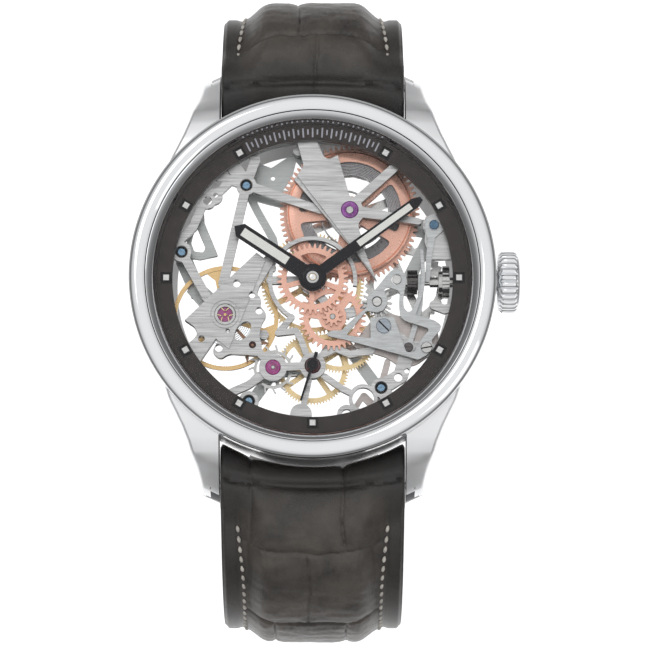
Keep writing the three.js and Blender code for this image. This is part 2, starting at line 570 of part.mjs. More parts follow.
// ---------------------------------------------------------------- barrel
const ratchet = prism(toothed(50, 5.62, 5.3, 0, 0, BARREL, 2.4 * DEG), 2.65, 3.25);
place('ratchet_wheel', cutAll(ratchet, [
  ...windows(4, 1.9, 4.7, 0.5, BARREL, 20 * DEG, 2, 4),
  disc(0.61, 2, 4, BARREL, 16),
]), steel);
place('barrel_arbor', unite([
  disc(0.6, 2.65, 4.3, BARREL, 16),
  disc(1.2, 4.66, 5.4, BARREL, 20),
  disc(0.6, 4.2, 4.7, BARREL, 16),
  disc(0.4, 5.3, 7.5, BARREL, 14),
]), steel);

const barrelPinionAngle = bearing(BARREL, [0, 0]);
let barrel = unite([
  prism(toothed(78, 8.12, 7.66, 0, 0, BARREL, barrelPinionAngle + Math.PI / 78), 4.35, 4.8),
  disc(7.35, 4.35, 5.5, BARREL, 36),
]);
barrel = cutAll(barrel, [
  disc(7.05, 4.62, 6, BARREL, 36),
  ...windows(5, 1.9, 5.3, 0.6, BARREL, -12 * DEG, 4, 5),
  disc(0.64, 4, 6, BARREL, 16),
]);
place('barrel', barrel, roseGold);
place('barrel_cover', cutAll(disc(7.3, 5.52, 5.85, BARREL, 36), [
  ...windows(5, 1.9, 5.95, 0.6, BARREL, -12 * DEG, 5, 6),
  disc(0.5, 5, 7, BARREL, 16),
]), roseGold);

function spiral(centre, startR, endR, turns, thick, low, high, perTurn) {
  const count = Math.round(turns * perTurn);
  const [outer, inner] = [[], []];
  for (let i = 0; i <= count; i++) {
    const share = i / count;
    const a = share * turns * 2 * Math.PI;
    const r = startR + (endR - startR) * share;
    outer.push(polar(centre, r + thick / 2, a));
    inner.unshift(polar(centre, r - thick / 2, a));
  }
  return prism([...outer, ...inner], low, high);
}
const innerCoil = spiral(BARREL, 1.4, 4.9, 1, 0.16, 4.7, 5.4, 12);
const outerCoil = spiral(BARREL, 4.9, 6.8, 3, 0.4, 4.7, 5.4, 14);
place('mainspring', innerCoil.add(outerCoil), steel);

// ---------------------------------------------------------------- going train
place('centre_wheel', unite([
  cutAll(prism(toothed(80, 5.98, 5.62, 0, 0), 4, 4.2), windows(4, 1.7, 5.1, 0.35, [0, 0], 0.5, 3, 5)),
  prism(toothed(12, 1.38, 0.92, 0, 0, [0, 0], barrelPinionAngle + Math.PI), 4.15, 4.9),
  disc(0.55, 4.8, 7.05, [0, 0], 16),
  disc(0.3, 3, 4.1, [0, 0], 12),
  disc(0.38, 7, 9.3, [0, 0], 14),
]), brass);
const thirdAngle = bearing([0, 0], THIRD);
place('third_wheel', unite([
  cutAll(prism(toothed(75, 4.6, 4.3, 0, 0, THIRD), 5, 5.2), windows(4, 1.3, 3.8, 0.3, THIRD, 0.2, 4, 6)),
  prism(toothed(10, 0.84, 0.5, 0, 0, THIRD, thirdAngle + Math.PI + Math.PI / 10), 3.95, 4.3),
  disc(0.4, 4.25, 5.1, THIRD, 12),
  disc(0.17, 3, 5.9, THIRD, 10),
]), brass);
place('fourth_wheel', unite([
  cutAll(prism(toothed(70, 4.2, 3.95, 0, 0, FOURTH), 4.45, 4.65),
    windows(4, 1.2, 3.4, 0.3, FOURTH, 0.6, 4, 6)),
  prism(toothed(10, 0.66, 0.4, 0, 0, FOURTH, bearing(FOURTH, THIRD) + Math.PI / 10), 4.6, 5.3),
  disc(0.17, 3, 6, FOURTH, 10),
  disc(0.2, 5.2, 8.4, FOURTH, 12),
]), brass);
const clubTeeth = [];
for (let i = 0; i < 15; i++) {
  for (const [r, share] of [[2.25, -0.42], [2.2, 0.1], [2.95, 0.42], [2.98, 0.56]]) {
    clubTeeth.push(polar(ESCAPE, r, ((i + share) / 15) * 2 * Math.PI));
  }
}
place('escape_wheel', unite([
  cutAll(prism(clubTeeth, 5.45, 5.65), windows(4, 0.8, 1.9, 0.25, ESCAPE, 0.3, 5, 6)),
  prism(toothed(7, 0.46, 0.27, 0, 0, ESCAPE, bearing(ESCAPE, FOURTH) + Math.PI / 7), 4.35, 4.9),
  disc(0.3, 4.85, 5.5, ESCAPE, 12),
  disc(0.17, 3, 7.4, ESCAPE, 10),
]), polished);

// ---------------------------------------------------------------- escapement and balance
const forkAngle = bearing(PALLET, BALANCE);
const armAngle = bearing(PALLET, ESCAPE);
const forkBase = polar(PALLET, 3, forkAngle);
const forkEnd = polar(PALLET, 3.75, forkAngle);
const forkHorn = (side) => path([
  forkBase, polar(forkBase, 0.45, forkAngle + side * 0.9), polar(forkEnd, 0.42, forkAngle + side * 1.45),
], 0.26, 5.45, 5.7);
const palletArm = (side) => path([
  PALLET, polar(PALLET, 1.35, armAngle + side * 1.25), polar(PALLET, 1.75, armAngle + side * 1.02),
], 0.38, 5.45, 5.7);
place('pallet_fork', cutAll(unite([
  strut(PALLET, forkBase, 0.45, 5.45, 5.7, 0.3),
  forkHorn(1), forkHorn(-1), palletArm(1), palletArm(-1),
  disc(0.5, 5.45, 5.7, PALLET, 14),
  disc(0.15, 4.95, 7.3, PALLET, 10),
]), [disc(3.08, 5, 6, ESCAPE, 24)]), brass);

const balanceSpoke = (i) =>
  strut(BALANCE, polar(BALANCE, 5.8, forkAngle + (0.5 + (i * 2) / 3) * Math.PI), 0.5, 4.5, 4.7);
place('balance_wheel', unite([
  ring(6.1, 5.62, 4.35, 4.85, BALANCE, 30),
  ...[0, 1, 2].map(balanceSpoke),
  disc(0.8, 4.4, 4.9, BALANCE, 18),
  disc(0.17, 3, 7.5, BALANCE, 10),
  disc(1.15, 4.8, 5.2, BALANCE, 20),
  disc(0.1, 5.1, 5.5, polar(BALANCE, 0.95, forkAngle + Math.PI), 8),
]), orangeGold);
place('hairspring', unite([
  spiral(BALANCE, 0.6, 3.1, 4, 0.16, 3.98, 4.15, 10),
  ring(0.7, 0.19, 3.95, 4.3, BALANCE, 16),
]), blued);

// ---------------------------------------------------------------- motion works and hands
place('cannon_pinion', unite([
  prism(toothed(12, 1.38, 0.94, 0, 0, [0, 0], bearing([0, 0], MINUTE_POST)), 7.05, 7.5),
  disc(0.7, 7.45, 9.1, [0, 0], 18),
]).subtract(disc(0.4, 7, 10, [0, 0], 14)), steel);
place('minute_wheel', cutAll(unite([
  prism(toothed(36, 3.88, 3.42, 0, 0, MINUTE_POST, bearing(MINUTE_POST, [0, 0]) + Math.PI / 36), 7.12, 7.42),
  prism(toothed(10, 1.18, 0.75, 0, 0, MINUTE_POST, bearing(MINUTE_POST, [0, 0])), 7.4, 7.9),
]), [
  ...windows(5, 1.5, 2.9, 0.3, MINUTE_POST, 0.3, 7, 7.6),
  disc(0.33, 7, 9, MINUTE_POST, 14),
]), roseGold);
place('hour_wheel', cutAll(unite([
  prism(toothed(40, 4.14, 3.68, 0, 0, [0, 0], bearing([0, 0], MINUTE_POST) + Math.PI / 40), 7.58, 7.88),
  disc(1.1, 7.58, 8.95, [0, 0], 22),
]), [
  ...windows(5, 1.5, 3.1, 0.35, [0, 0], 0.9, 7, 8.1),
  disc(0.74, 7, 10, [0, 0], 18),
]), roseGold);
place('setting_wheel', cutAll(
  prism(toothed(16, 1.78, 1.25, 0.2, 0.42, SETTING_POST, bearing(SETTING_POST, MINUTE_POST)), 7.12, 7.42),
  [disc(0.45, 7, 8, SETTING_POST, 14)],
), steel);

// A hand drawn pointing to 12 with its hub at the origin, then turned clockwise.
function hand(outline, hub, bore, low, high, angle, centre = [0, 0]) {
  return unite([prism(outline, low, high), disc(hub, low, high, [0, 0], 20)])
    .subtract(disc(bore, low - 1, high + 1, [0, 0], 18))
    .rotate([0, 0, -angle]).translate([centre[0], centre[1], 0]);
}
place('hour_hand', hand([[-0.9, 0.9], [0.9, 0.9], [0.9, 9.95], [0, 10.8], [-0.9, 9.95]],
  1.6, 1.12, 8.65, 8.9, HOUR_HAND_ANGLE), handBlack);
place('minute_hand', unite([
  hand([[-0.65, 0.5], [0.65, 0.5], [0.62, 14.6], [0.25, 15.5], [-0.25, 15.5], [-0.62, 14.6]],
    1.3, 0.72, 9, 9.15, MINUTE_HAND_ANGLE),
  hand([[-0.65, 0.9], [0.65, 0.9], [0.65, 1.2], [-0.65, 1.2]], 1.3, 0.72, 9, 9.25, MINUTE_HAND_ANGLE),
]), handBlack);
place('seconds_hand', hand([[-0.2, -1.5], [0.2, -1.5], [0.11, 4.4], [-0.11, 4.4]],
  0.65, 0.22, 8.15, 8.32, SECONDS_HAND_ANGLE, FOURTH), handBlack);

// ---------------------------------------------------------------- strap
// A centreline in the YZ plane: out of the lugs, round an arc, then straight or slowly curling in.
function centreline(side, bend, lean, curl, length) {
  const arc = bend * (90 - lean) * DEG;
  return (s) => {
    const turned = Math.min(Math.max(s, 0), arc) / bend;
    const rest = Math.max(s - arc, 0);
    let [y, z] = [bend * Math.sin(turned), -bend * (1 - Math.cos(turned))];
    let heading = turned;
    if (rest > 0) {
      const end = turned + curl * rest / length;
      const middle = (turned + end) / 2;
      y += rest * Math.cos(middle);
      z -= rest * Math.sin(middle);
      heading = end;
    }
    if (s < 0) y += s;
    return {
      at: [side * (BAR_Y + y), BAR_Z + z],
      along: [side * Math.cos(heading), -Math.sin(heading)],
      out: [side * Math.sin(heading), Math.cos(heading)],
    };
  };
}

function strapSection(half, edge, under, pad) {
  const right = [
    [half, -under], [half, edge - 0.3], [half - 0.3, edge], [half - 2.4, edge],
    [half - 3.6, edge + (pad - edge) * 0.62], [half - 5.4, pad - (pad - edge) * 0.1],
  ];
  return [...right, [0, pad], ...right.map(([x, n]) => [-x, n]).reverse()];
}

// Strap blanks are lofted through sections that stand square to the centreline.
function loft(line, stations, sectionAt) {
  const rows = stations.map((s) => {
    const { at, out } = line(s);
    return sectionAt(s).map(([x, n]) => [x, at[0] + out[0] * n, at[1] + out[1] * n]);
  });
  const size = rows[0].length;
  const index = [];
  for (let i = 0; i < rows.length - 1; i++) {
    for (let k = 0; k < size; k++) {
      const [a, b] = [i * size + k, i * size + ((k + 1) % size)];
      index.push(a, b, a + size, b, b + size, a + size);
    }
  }
  for (let k = 1; k < size - 1; k++) {
    const last = (rows.length - 1) * size;
    index.push(0, k + 1, k, last, last + k, last + k + 1);
  }
  const geometry = new THREE.BufferGeometry();
  geometry.setAttribute('position', new THREE.Float32BufferAttribute(rows.flat(2), 3));
  geometry.setIndex(index);
  const solid = toSolid(geometry);
  return solid.volume() > 0 ? solid : flipped(geometry);
}

function flipped(geometry) {
  const index = Array.from(geometry.index.array);
  for (let i = 0; i < index.length; i += 3) [index[i + 1], index[i + 2]] = [index[i + 2], index[i + 1]];
  geometry.setIndex(index);
  return toSolid(geometry);
}

const blend = (from, to, share) => from + (to - from) * Math.min(Math.max(share, 0), 1);
function strapAt(length, padEnd) {
  return (s) => {
    const half = blend(STRAP_WIDTH, STRAP_END_WIDTH, s / length) / 2;
    const rise = blend(ROLL_WAIST_R, STRAP_PAD, s / 3.5);
    const pad = s < padEnd ? blend(rise, 1.75, (s - 10) / (padEnd - 10)) : 1.75;
    return strapSection(half, STRAP_EDGE, STRAP_EDGE, Math.max(pad, STRAP_EDGE + 0.15));
  };
}
const spread = (from, to, count) =>
  Array.from({ length: count + 1 }, (_, i) => from + ((to - from) * i) / count);

function barHole(radius, y, z, half) {
  return alongX(disc(radius, -half, half, [0, 0], 16)).translate([0, y, z]);
}

// The rolled end round a spring bar: thick at its sides and waisted to clear the case wall.
function rolledEnd(side) {
  const half = STRAP_WIDTH / 2;
  const profile = [[0, -half], [ROLL_R, -half], [ROLL_R, -7], [ROLL_WAIST_R, -3]];
  const mirrored = profile.map(([r, x]) => [r, -x]).reverse();
  return alongX(lathe([...profile, ...mirrored], 14)).translate([0, side * BAR_Y, BAR_Z]);
}

const line12 = centreline(1, BEND_12, LEAN_12, 0, LENGTH_12);
const buckleAt = line12(LENGTH_12);

// Everything at the buckle end is drawn flat, X across and Y along the strap, and then hung on it.
const buckleTilt = LEAN_12 - 90;
const hang = (solid) => solid.rotate([buckleTilt, 0, 0]).translate([0, ...buckleAt.at]);
const strap12 = cutAll(unite([
  loft(line12, [...spread(0, 10, 7), 18, 34, 50, LENGTH_12], strapAt(LENGTH_12, 50)),
  rolledEnd(1),
  barHole(1.5, ...buckleAt.at, STRAP_END_WIDTH / 2),
]), [
  barHole(BAR_R + 0.03, BAR_Y, BAR_Z, 12),
  barHole(0.78, ...buckleAt.at, 12),
  hang(prism([[-1.25, -1.8], [1.25, -1.8], [1.25, 3], [-1.25, 3]], -3, 3)),
]);
place('strap_12', strap12, leather);

const line6 = centreline(-1, BEND_6, -12, 30 * DEG, LENGTH_6);
const tipAt = (s) => {
  const section = strapAt(LENGTH_6, 60)(s);
  const left = LENGTH_6 - s;
  const taper = left < 9 ? Math.sqrt(1 - ((9 - left) / 9.4) ** 2) : 1;
  return section.map(([x, n]) => [x * Math.max(taper, 0.3), n]);
};
const strapHoles = [0, 1, 2, 3, 4, 5, 6].map((i) => {
  const { at, out } = line6(LENGTH_6 - 22 - i * 6.5);
  const tilt = Math.atan2(-out[0], out[1]) / DEG;
  return disc(0.95, -4, 4, [0, 0], 8).rotate([tilt, 0, 0]).translate([0, at[0], at[1]]);
});
const stations6 = [...spread(0, 4, 2), ...spread(8, 30, 6), 42, 54, 68, 82, 95, ...spread(97, LENGTH_6, 4)];
const strap6 = cutAll(unite([
  loft(line6, stations6, tipAt),
  rolledEnd(-1),
]), [barHole(BAR_R + 0.03, -BAR_Y, BAR_Z, 12), ...strapHoles]);
place('strap_6', strap6, leather);

for (const [name, y, z, half] of [
  ['spring_bar_12', BAR_Y, BAR_Z, LUG_GAP / 2], ['spring_bar_6', -BAR_Y, BAR_Z, LUG_GAP / 2],
]) {
  place(name, unite([barHole(BAR_R, y, z, half - 0.1), barHole(0.4, y, z, half + 1)]), steel);
}

function band(outer, inner, low, high, alongLow, alongHigh) {
  const box = (half, lowZ, highZ, y0, y1) =>
    prism([[-half, y0], [half, y0], [half, y1], [-half, y1]], lowZ, highZ);
  return box(outer, low, high, alongLow, alongHigh)
    .subtract(box(inner, low + (outer - inner), high - (outer - inner), alongLow - 1, alongHigh + 1));
}
place('fixed_keeper', hang(band(10.45, 9.35, -3, 5.5, -5 - KEEPER_WIDTH, -5)), leather);
place('free_keeper', hang(band(10.75, 9.75, -3, 5.5, -14 - KEEPER_WIDTH, -14)), leather);

place('buckle_frame', hang(cutAll(unite([
  strut([-10.6, -0.4], [-10.6, 7], 2, -1.1, 1.1),
  strut([10.6, -0.4], [10.6, 7], 2, -1.1, 1.1),
  strut([-10.6, 7.4], [10.6, 7.4], 2.2, -1.1, 1.1),
]), [
  alongX(disc(0.72, -11, 11, [0, 0], 16)),
  prism([[-1.2, 6], [1.2, 6], [1.2, 9], [-1.2, 9]], 0.45, 3),
])), polished);
place('buckle_tang', hang(cutAll(unite([
  prism([[-0.95, -0.6], [0.95, -0.6], [0.95, 4], [0.8, 8.1], [-0.8, 8.1], [-0.95, 4]], 0.5, 1.4),
  alongX(disc(1.4, -0.95, 0.95, [0, 0], 18)),
]), [alongX(disc(0.74, -3, 3, [0, 0], 16))])), polished);
place('buckle_bar', hang(alongX(disc(0.7, -10.9, 10.9, [0, 0], 16))), steel);

export default watch;
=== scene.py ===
"""Skeletonised hand-wound wristwatch: looks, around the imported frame. Shapes are drawn in millimetres."""
import math

import bmesh
import bpy
from mathutils import Matrix, Vector, noise


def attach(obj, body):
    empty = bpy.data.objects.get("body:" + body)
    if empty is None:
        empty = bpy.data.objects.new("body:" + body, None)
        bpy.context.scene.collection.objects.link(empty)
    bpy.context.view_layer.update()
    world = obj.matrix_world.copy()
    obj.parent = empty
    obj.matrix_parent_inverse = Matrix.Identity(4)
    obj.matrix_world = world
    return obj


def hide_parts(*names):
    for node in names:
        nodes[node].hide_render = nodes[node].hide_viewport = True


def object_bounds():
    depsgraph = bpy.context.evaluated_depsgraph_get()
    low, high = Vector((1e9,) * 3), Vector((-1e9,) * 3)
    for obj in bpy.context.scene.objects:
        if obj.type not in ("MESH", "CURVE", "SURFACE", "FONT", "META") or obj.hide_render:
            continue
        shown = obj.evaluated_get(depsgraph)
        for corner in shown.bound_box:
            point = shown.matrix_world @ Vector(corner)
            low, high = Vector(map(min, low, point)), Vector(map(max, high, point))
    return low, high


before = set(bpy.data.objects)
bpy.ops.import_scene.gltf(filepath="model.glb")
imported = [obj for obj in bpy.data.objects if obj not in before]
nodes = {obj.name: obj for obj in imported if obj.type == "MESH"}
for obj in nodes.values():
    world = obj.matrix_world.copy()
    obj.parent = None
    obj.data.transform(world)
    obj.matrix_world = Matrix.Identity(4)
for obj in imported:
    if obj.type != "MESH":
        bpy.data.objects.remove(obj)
cad_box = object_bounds()
MM = 0.001
DEG = math.pi / 180

# ------------------------------------------------------------------ places shared with the frame
BARREL = (4.27, 8.11)
THIRD = (3.13, -5.98)
FOURTH = (0.0, -10.0)
ESCAPE = (-4.55, -10.2)
PALLET = (-6.9, -7.6)
BALANCE = (-10.05, -4.1)
MINUTE_POST = (2.29, -4.39)
SETTING_POST = (7.4, -2.67)
CENTRE = (0.0, 0.0)
SCREWS = {"a": (-7.66, 11.11), "b": (-15.1, 3.3), "c": (-7.33, -14.05), "d": (7.86, -12.5)}
SCREW_E = (13.98, 6.36)
COVER_SCREW = (8.15, -5.52)
YOKE_SCREW = (10.99, -7.89)
EDGE_SCREW = (13.07, -8.03)
STEM_Z = 5.3
BAR_Y, BAR_Z = 23.3, 3.0
LUG_HALF = 10.7


# ------------------------------------------------------------------ materials
def node_tree(name):
    mat = bpy.data.materials.new(name)
    mat.use_nodes = True
    tree = mat.node_tree
    return mat, tree, tree.nodes["Principled BSDF"]


def link(tree, a, b):
    tree.links.new(a, b)


def coords(tree, scale, turn=0.0):
    where = tree.nodes.new("ShaderNodeTexCoord")
    mapping = tree.nodes.new("ShaderNodeMapping")
    mapping.inputs["Scale"].default_value = scale
    mapping.inputs["Rotation"].default_value = (0, 0, turn)
    link(tree, where.outputs["Object"], mapping.inputs["Vector"])
    return mapping.outputs["Vector"]


def noise_tex(tree, vector, scale, detail=3.0, rough=0.55):
    tex = tree.nodes.new("ShaderNodeTexNoise")
    tex.inputs["Scale"].default_value = scale
    tex.inputs["Detail"].default_value = detail
    tex.inputs["Roughness"].default_value = rough
    link(tree, vector, tex.inputs["Vector"])
    return tex.outputs["Fac"]


def ramp(tree, fac, low, high, start=0.3, end=0.7):
    node = tree.nodes.new("ShaderNodeValToRGB")
    node.color_ramp.elements[0].position = start
    node.color_ramp.elements[1].position = end
    node.color_ramp.elements[0].color = (*low, 1)
    node.color_ramp.elements[1].color = (*high, 1)
    link(tree, fac, node.inputs["Fac"])
    return node.outputs["Color"]


def remap(tree, value, start, end, low, high, ease=False):
    node = tree.nodes.new("ShaderNodeMapRange")
    if ease:
        node.interpolation_type = "SMOOTHSTEP"
    for socket, number in (("From Min", start), ("From Max", end), ("To Min", low), ("To Max", high)):
        node.inputs[socket].default_value = number
    link(tree, value, node.inputs["Value"])
    return node.outputs["Result"]


def span(tree, fac, low, high):
    return remap(tree, fac, 0.3, 0.7, low, high)


def maths(tree, operation, *values):
    node = tree.nodes.new("ShaderNodeMath")
    node.operation = operation
    for socket, value in zip(node.inputs, values):
        link(tree, value, socket)
    return node.outputs["Value"]


def split_xyz(tree, vector):
    node = tree.nodes.new("ShaderNodeSeparateXYZ")
    link(tree, vector, node.inputs["Vector"])
    return node.outputs


def darken(tree, dark, color, share):
    """Mixes a dark colour into a colour socket: all dark at a share of 0, none at 1."""
    mix = tree.nodes.new("ShaderNodeMix")
    mix.data_type = "RGBA"
    mix.inputs[6].default_value = (*dark, 1)
    link(tree, share, mix.inputs["Factor"])
    link(tree, color, mix.inputs[7])
    return mix.outputs[2]


def bump(tree, shader, height, strength, distance):
    node = tree.nodes.new("ShaderNodeBump")
    node.inputs["Strength"].default_value = strength
    node.inputs["Distance"].default_value = distance
    link(tree, height, node.inputs["Height"])
    link(tree, node.outputs["Normal"], shader.inputs["Normal"])


def shade(color, factor):
    return tuple(min(c * factor, 1.0) for c in color)


def paint_wall_shade(tree, color, wall):
    """Painted shade: faces that stand upright are darkened against the flat top faces, by their normal alone."""
    where = tree.nodes.new("ShaderNodeTexCoord")
    upright = maths(tree, "ABSOLUTE", split_xyz(tree, where.outputs["Normal"])["Z"])
    return darken(tree, (0.004, 0.004, 0.004), color, remap(tree, upright, 0.25, 0.9, wall, 1.0))


def metal(name, color, rough, stretch=(1, 1, 1), turn=0.0, grain=900, contrast=0.12, depth=0.0, wall=1.0,
          metallic=1.0):
    """A metal whose colour and roughness vary along a stretched grain; a wall share below 1 paints shade on its
    upright faces.
    """
    mat, tree, shader = node_tree(name)
    vector = coords(tree, stretch, turn)
    fine = noise_tex(tree, vector, grain, 4.0, 0.65)
    tone = ramp(tree, fine, shade(color, 1 - contrast), shade(color, 1 + contrast))
    # Painted shade on the upright faces, below a wall share of 1.
    if wall < 1:
        tone = paint_wall_shade(tree, tone, wall)
    link(tree, tone, shader.inputs["Base Color"])
    link(tree, span(tree, fine, rough * 0.75, rough * 1.25), shader.inputs["Roughness"])
    shader.inputs["Metallic"].default_value = metallic
    if depth:
        bump(tree, shader, fine, 0.4, depth * MM)
    return mat


def gem(name, color, dark):
    mat, tree, shader = node_tree(name)
    fac = noise_tex(tree, coords(tree, (1, 1, 1)), 1500, 2.0)
    link(tree, ramp(tree, fac, dark, color), shader.inputs["Base Color"])
    shader.inputs["Roughness"].default_value = 0.08
    shader.inputs["Coat Weight"].default_value = 1.0
    shader.inputs["Coat Roughness"].default_value = 0.03
    return mat


def clear(name, alpha):
    mat, tree, shader = node_tree(name)
    fac = noise_tex(tree, coords(tree, (1, 1, 1)), 40, 2.0)
    link(tree, ramp(tree, fac, (0.93, 0.95, 0.97), (0.97, 0.98, 1.0)), shader.inputs["Base Color"])
    shader.inputs["Roughness"].default_value = 0.02
    shader.inputs["Alpha"].default_value = alpha
    shader.inputs["IOR"].default_value = 1.3
    return mat


def lacquer(name, color, rough, coat, spread=0.25, gloss=0.25):
    mat, tree, shader = node_tree(name)
    fac = noise_tex(tree, coords(tree, (1, 1, 1)), 700, 4.0)
    link(tree, ramp(tree, fac, shade(color, 1 - spread), shade(color, 1 + spread)),
         shader.inputs["Base Color"])
    link(tree, span(tree, fac, rough * 0.85, rough * 1.15), shader.inputs["Roughness"])
    shader.inputs["Coat Weight"].default_value = coat
    shader.inputs["Coat Roughness"].default_value = 0.08
    shader.inputs["Specular IOR Level"].default_value = gloss
    return mat


def leather_painted_shade(tree, vector, color):
    """Painted shade: leather is darker along its edges and where it dips under the case."""
    axes = split_xyz(tree, vector)
    across = remap(tree, maths(tree, "ABSOLUTE", axes["X"]), 6.0 * MM, 9.8 * MM, 1.0, 0.35, True)
    along = remap(tree, maths(tree, "ABSOLUTE", axes["Y"]), 22.8 * MM, 27.5 * MM, 0.3, 1.0, True)
    return darken(tree, (0.004, 0.0035, 0.003), color, maths(tree, "MULTIPLY", across, along))


def leather(name, low, high, rough, coat):
    mat, tree, shader = node_tree(name)
    vector = coords(tree, (1, 1, 1))
    broad = noise_tex(tree, vector, 220, 5.0, 0.6)
    # Base colour carries painted shade along the edges and where the strap meets the case.
    link(tree, leather_painted_shade(tree, vector, ramp(tree, broad, low, high, 0.3, 0.75)), shader.inputs["Base Color"])
    cells = tree.nodes.new("ShaderNodeTexVoronoi")
    cells.feature = "DISTANCE_TO_EDGE"
    cells.inputs["Scale"].default_value = 5200
    link(tree, vector, cells.inputs["Vector"])
    link(tree, span(tree, broad, rough * 0.8, rough * 1.25), shader.inputs["Roughness"])
    shader.inputs["Coat Weight"].default_value = coat
    shader.inputs["Coat Roughness"].default_value = 0.3
    bump(tree, shader, cells.outputs["Distance"], 0.9, 0.08 * MM)
    return mat


BRUSH_X = (0.04, 1.0, 1.0)
STEEL = (0.86, 0.87, 0.885)
M = {
    "polished": metal("polished_steel", STEEL, 0.07, contrast=0.015, grain=60),
    "satin_case": metal("satin_case_steel", (0.92, 0.925, 0.935), 0.34, contrast=0.02, grain=80),
    "brushed": metal("brushed_plate", (0.55, 0.55, 0.55), 0.33, BRUSH_X, grain=5200, contrast=0.34,
                     depth=0.006, wall=0.1),
    "bridge": metal("bridge_grain", (0.46, 0.48, 0.475), 0.33, BRUSH_X, 0.5, 6000, 0.12, 0.003, 0.12),
    "cover": metal("keyless_grain", (0.52, 0.535, 0.54), 0.36, (0.1, 1, 1), 1.35, 5000, 0.22, 0.004, 0.1),
    "steel": metal("bright_steel", (0.58, 0.58, 0.57), 0.2, grain=1500, contrast=0.12, wall=0.25),
    # Painted shade: near-black steel for the outward end faces of the lugs.
    "tip": metal("lug_end_painted_shade", (0.05, 0.05, 0.055), 0.16, grain=300, contrast=0.2),
    "sink": metal("screw_sink", (0.30, 0.27, 0.25), 0.3, grain=2500, contrast=0.2, wall=0.5),
    "blush": metal("lower_plate", (0.52, 0.47, 0.45), 0.36, BRUSH_X, 0.4, 5200, 0.12, 0.003, 0.2),
    "navy": metal("dark_blued_steel", (0.10, 0.18, 0.27), 0.25, grain=2500, contrast=0.2),
    "dark_steel": metal("dark_steel", (0.12, 0.11, 0.11), 0.3, grain=2500, contrast=0.25, wall=0.4),
    "spring": metal("spring_steel", (0.36, 0.35, 0.36), 0.32, (1, 1, 0.1), grain=3000, contrast=0.2,
                    wall=0.2),
    "rose": metal("rose_gold", (0.93, 0.53, 0.41), 0.28, grain=900, contrast=0.035, wall=0.3, metallic=0.5),
    # Painted shade: a darker copy of the rose gold, for the barrel lid's chamfered edge.
    "rose_dark": metal("rose_gold_bevel_shade", (0.62, 0.24, 0.15), 0.25, grain=1800, contrast=0.08),
    "brass": metal("gilt_brass", (0.86, 0.67, 0.38), 0.28, grain=2200, contrast=0.1, wall=0.25),
    "orange": metal("gilt_balance", (0.80, 0.56, 0.28), 0.24, grain=900, contrast=0.08, wall=0.3),
    "brown": metal("pallet_bronze", (0.30, 0.18, 0.12), 0.3, grain=2200, contrast=0.15, wall=0.4),
    "blue": metal("blued_steel", (0.22, 0.36, 0.50), 0.25, grain=2500, contrast=0.2),
    "slate": metal("slate_screw", (0.36, 0.40, 0.45), 0.28, (0.1, 1, 1), 0.7, grain=4000, contrast=0.12),
    "ruby": gem("ruby", (0.50, 0.06, 0.32), (0.25, 0.02, 0.15)),
    "violet": gem("violet_ruby", (0.42, 0.10, 0.50), (0.2, 0.03, 0.24)),
    "ruby_dark": gem("dark_ruby", (0.10, 0.01, 0.02), (0.03, 0.005, 0.006)),
    "dial": lacquer("dial_ring", (0.034, 0.027, 0.024), 0.42, 0.0),
    # Painted shade: near-black laid at the bottom of recesses and slots.
    "recess_shade": lacquer("painted_recess_shade", (0.006, 0.0055, 0.005), 0.3, 0.0),
    "marker": metal("marker_steel", (0.66, 0.66, 0.65), 0.3, BRUSH_X, grain=3000, contrast=0.1, wall=0.2),
    "print": lacquer("dial_print", (0.42, 0.42, 0.47), 0.5, 0.0, 0.1),
    "hand": lacquer("hand_black", (0.007, 0.007, 0.010), 0.16, 0.0, 0.3, 0.2),
    "lume": lacquer("hand_lume", (0.86, 0.86, 0.82), 0.6, 0.0, 0.04),
    "thread": lacquer("stitch_thread", (0.52, 0.49, 0.45), 0.75, 0.0, 0.35),
    "crystal": clear("crystal_glass", 0.012),
    "leather": leather("strap_leather", (0.022, 0.018, 0.015), (0.098, 0.082, 0.068), 0.38, 0.3),
}


# ------------------------------------------------------------------ mesh helpers
def polar(centre, radius, angle):
    return (centre[0] + radius * math.cos(angle), centre[1] + radius * math.sin(angle))


def bearing(a, b):
    return math.atan2(b[1] - a[1], b[0] - a[0])


def circle(radius, centre=CENTRE, sides=48, turn=0.0):
    return [polar(centre, radius, turn + 2 * math.pi * i / sides) for i in range(sides)]


def prism(outline, low, high):
    area = sum(a[0] * b[1] - b[0] * a[1] for a, b in zip(outline, outline[1:] + outline[:1]))
    pts = list(outline) if area > 0 else list(reversed(outline))
    n = len(pts)
    verts = [(x, y, low) for x, y in pts] + [(x, y, high) for x, y in pts]
    faces = [tuple(reversed(range(n))), tuple(range(n, 2 * n))]
    faces += [(i, (i + 1) % n, n + (i + 1) % n, n + i) for i in range(n)]
    return verts, faces


def disc(radius, low, high, centre=CENTRE, sides=48):
    return prism(circle(radius, centre, sides), low, high)


def strut_outline(a, b, width, end=None, steps=6):
    end = width if end is None else end
    d = bearing(a, b)
    pts = [polar(b, end / 2, d - math.pi / 2 + math.pi * i / steps) for i in range(steps + 1)]
    pts += [polar(a, width / 2, d + math.pi / 2 + math.pi * i / steps) for i in range(steps + 1)]
    return pts


def strut(a, b, width, low, high, end=None):
    return prism(strut_outline(a, b, width, end), low, high)


def path(points, width, low, high):
    return [strut(a, b, width, low, high) for a, b in zip(points, points[1:])]


def skin(rings, sides, caps=True, closed=False):
    """Quads between successive rings of points, with a cap on each end unless the rings close up."""
    faces = []
    for k in range(rings if closed else rings - 1):
        m = (k + 1) % rings
        for i in range(sides):
            j = (i + 1) % sides
            faces.append((k * sides + i, k * sides + j, m * sides + j, m * sides + i))
    if caps:
        faces += [tuple(range(sides)), tuple(reversed(range((rings - 1) * sides, rings * sides)))]
    return faces


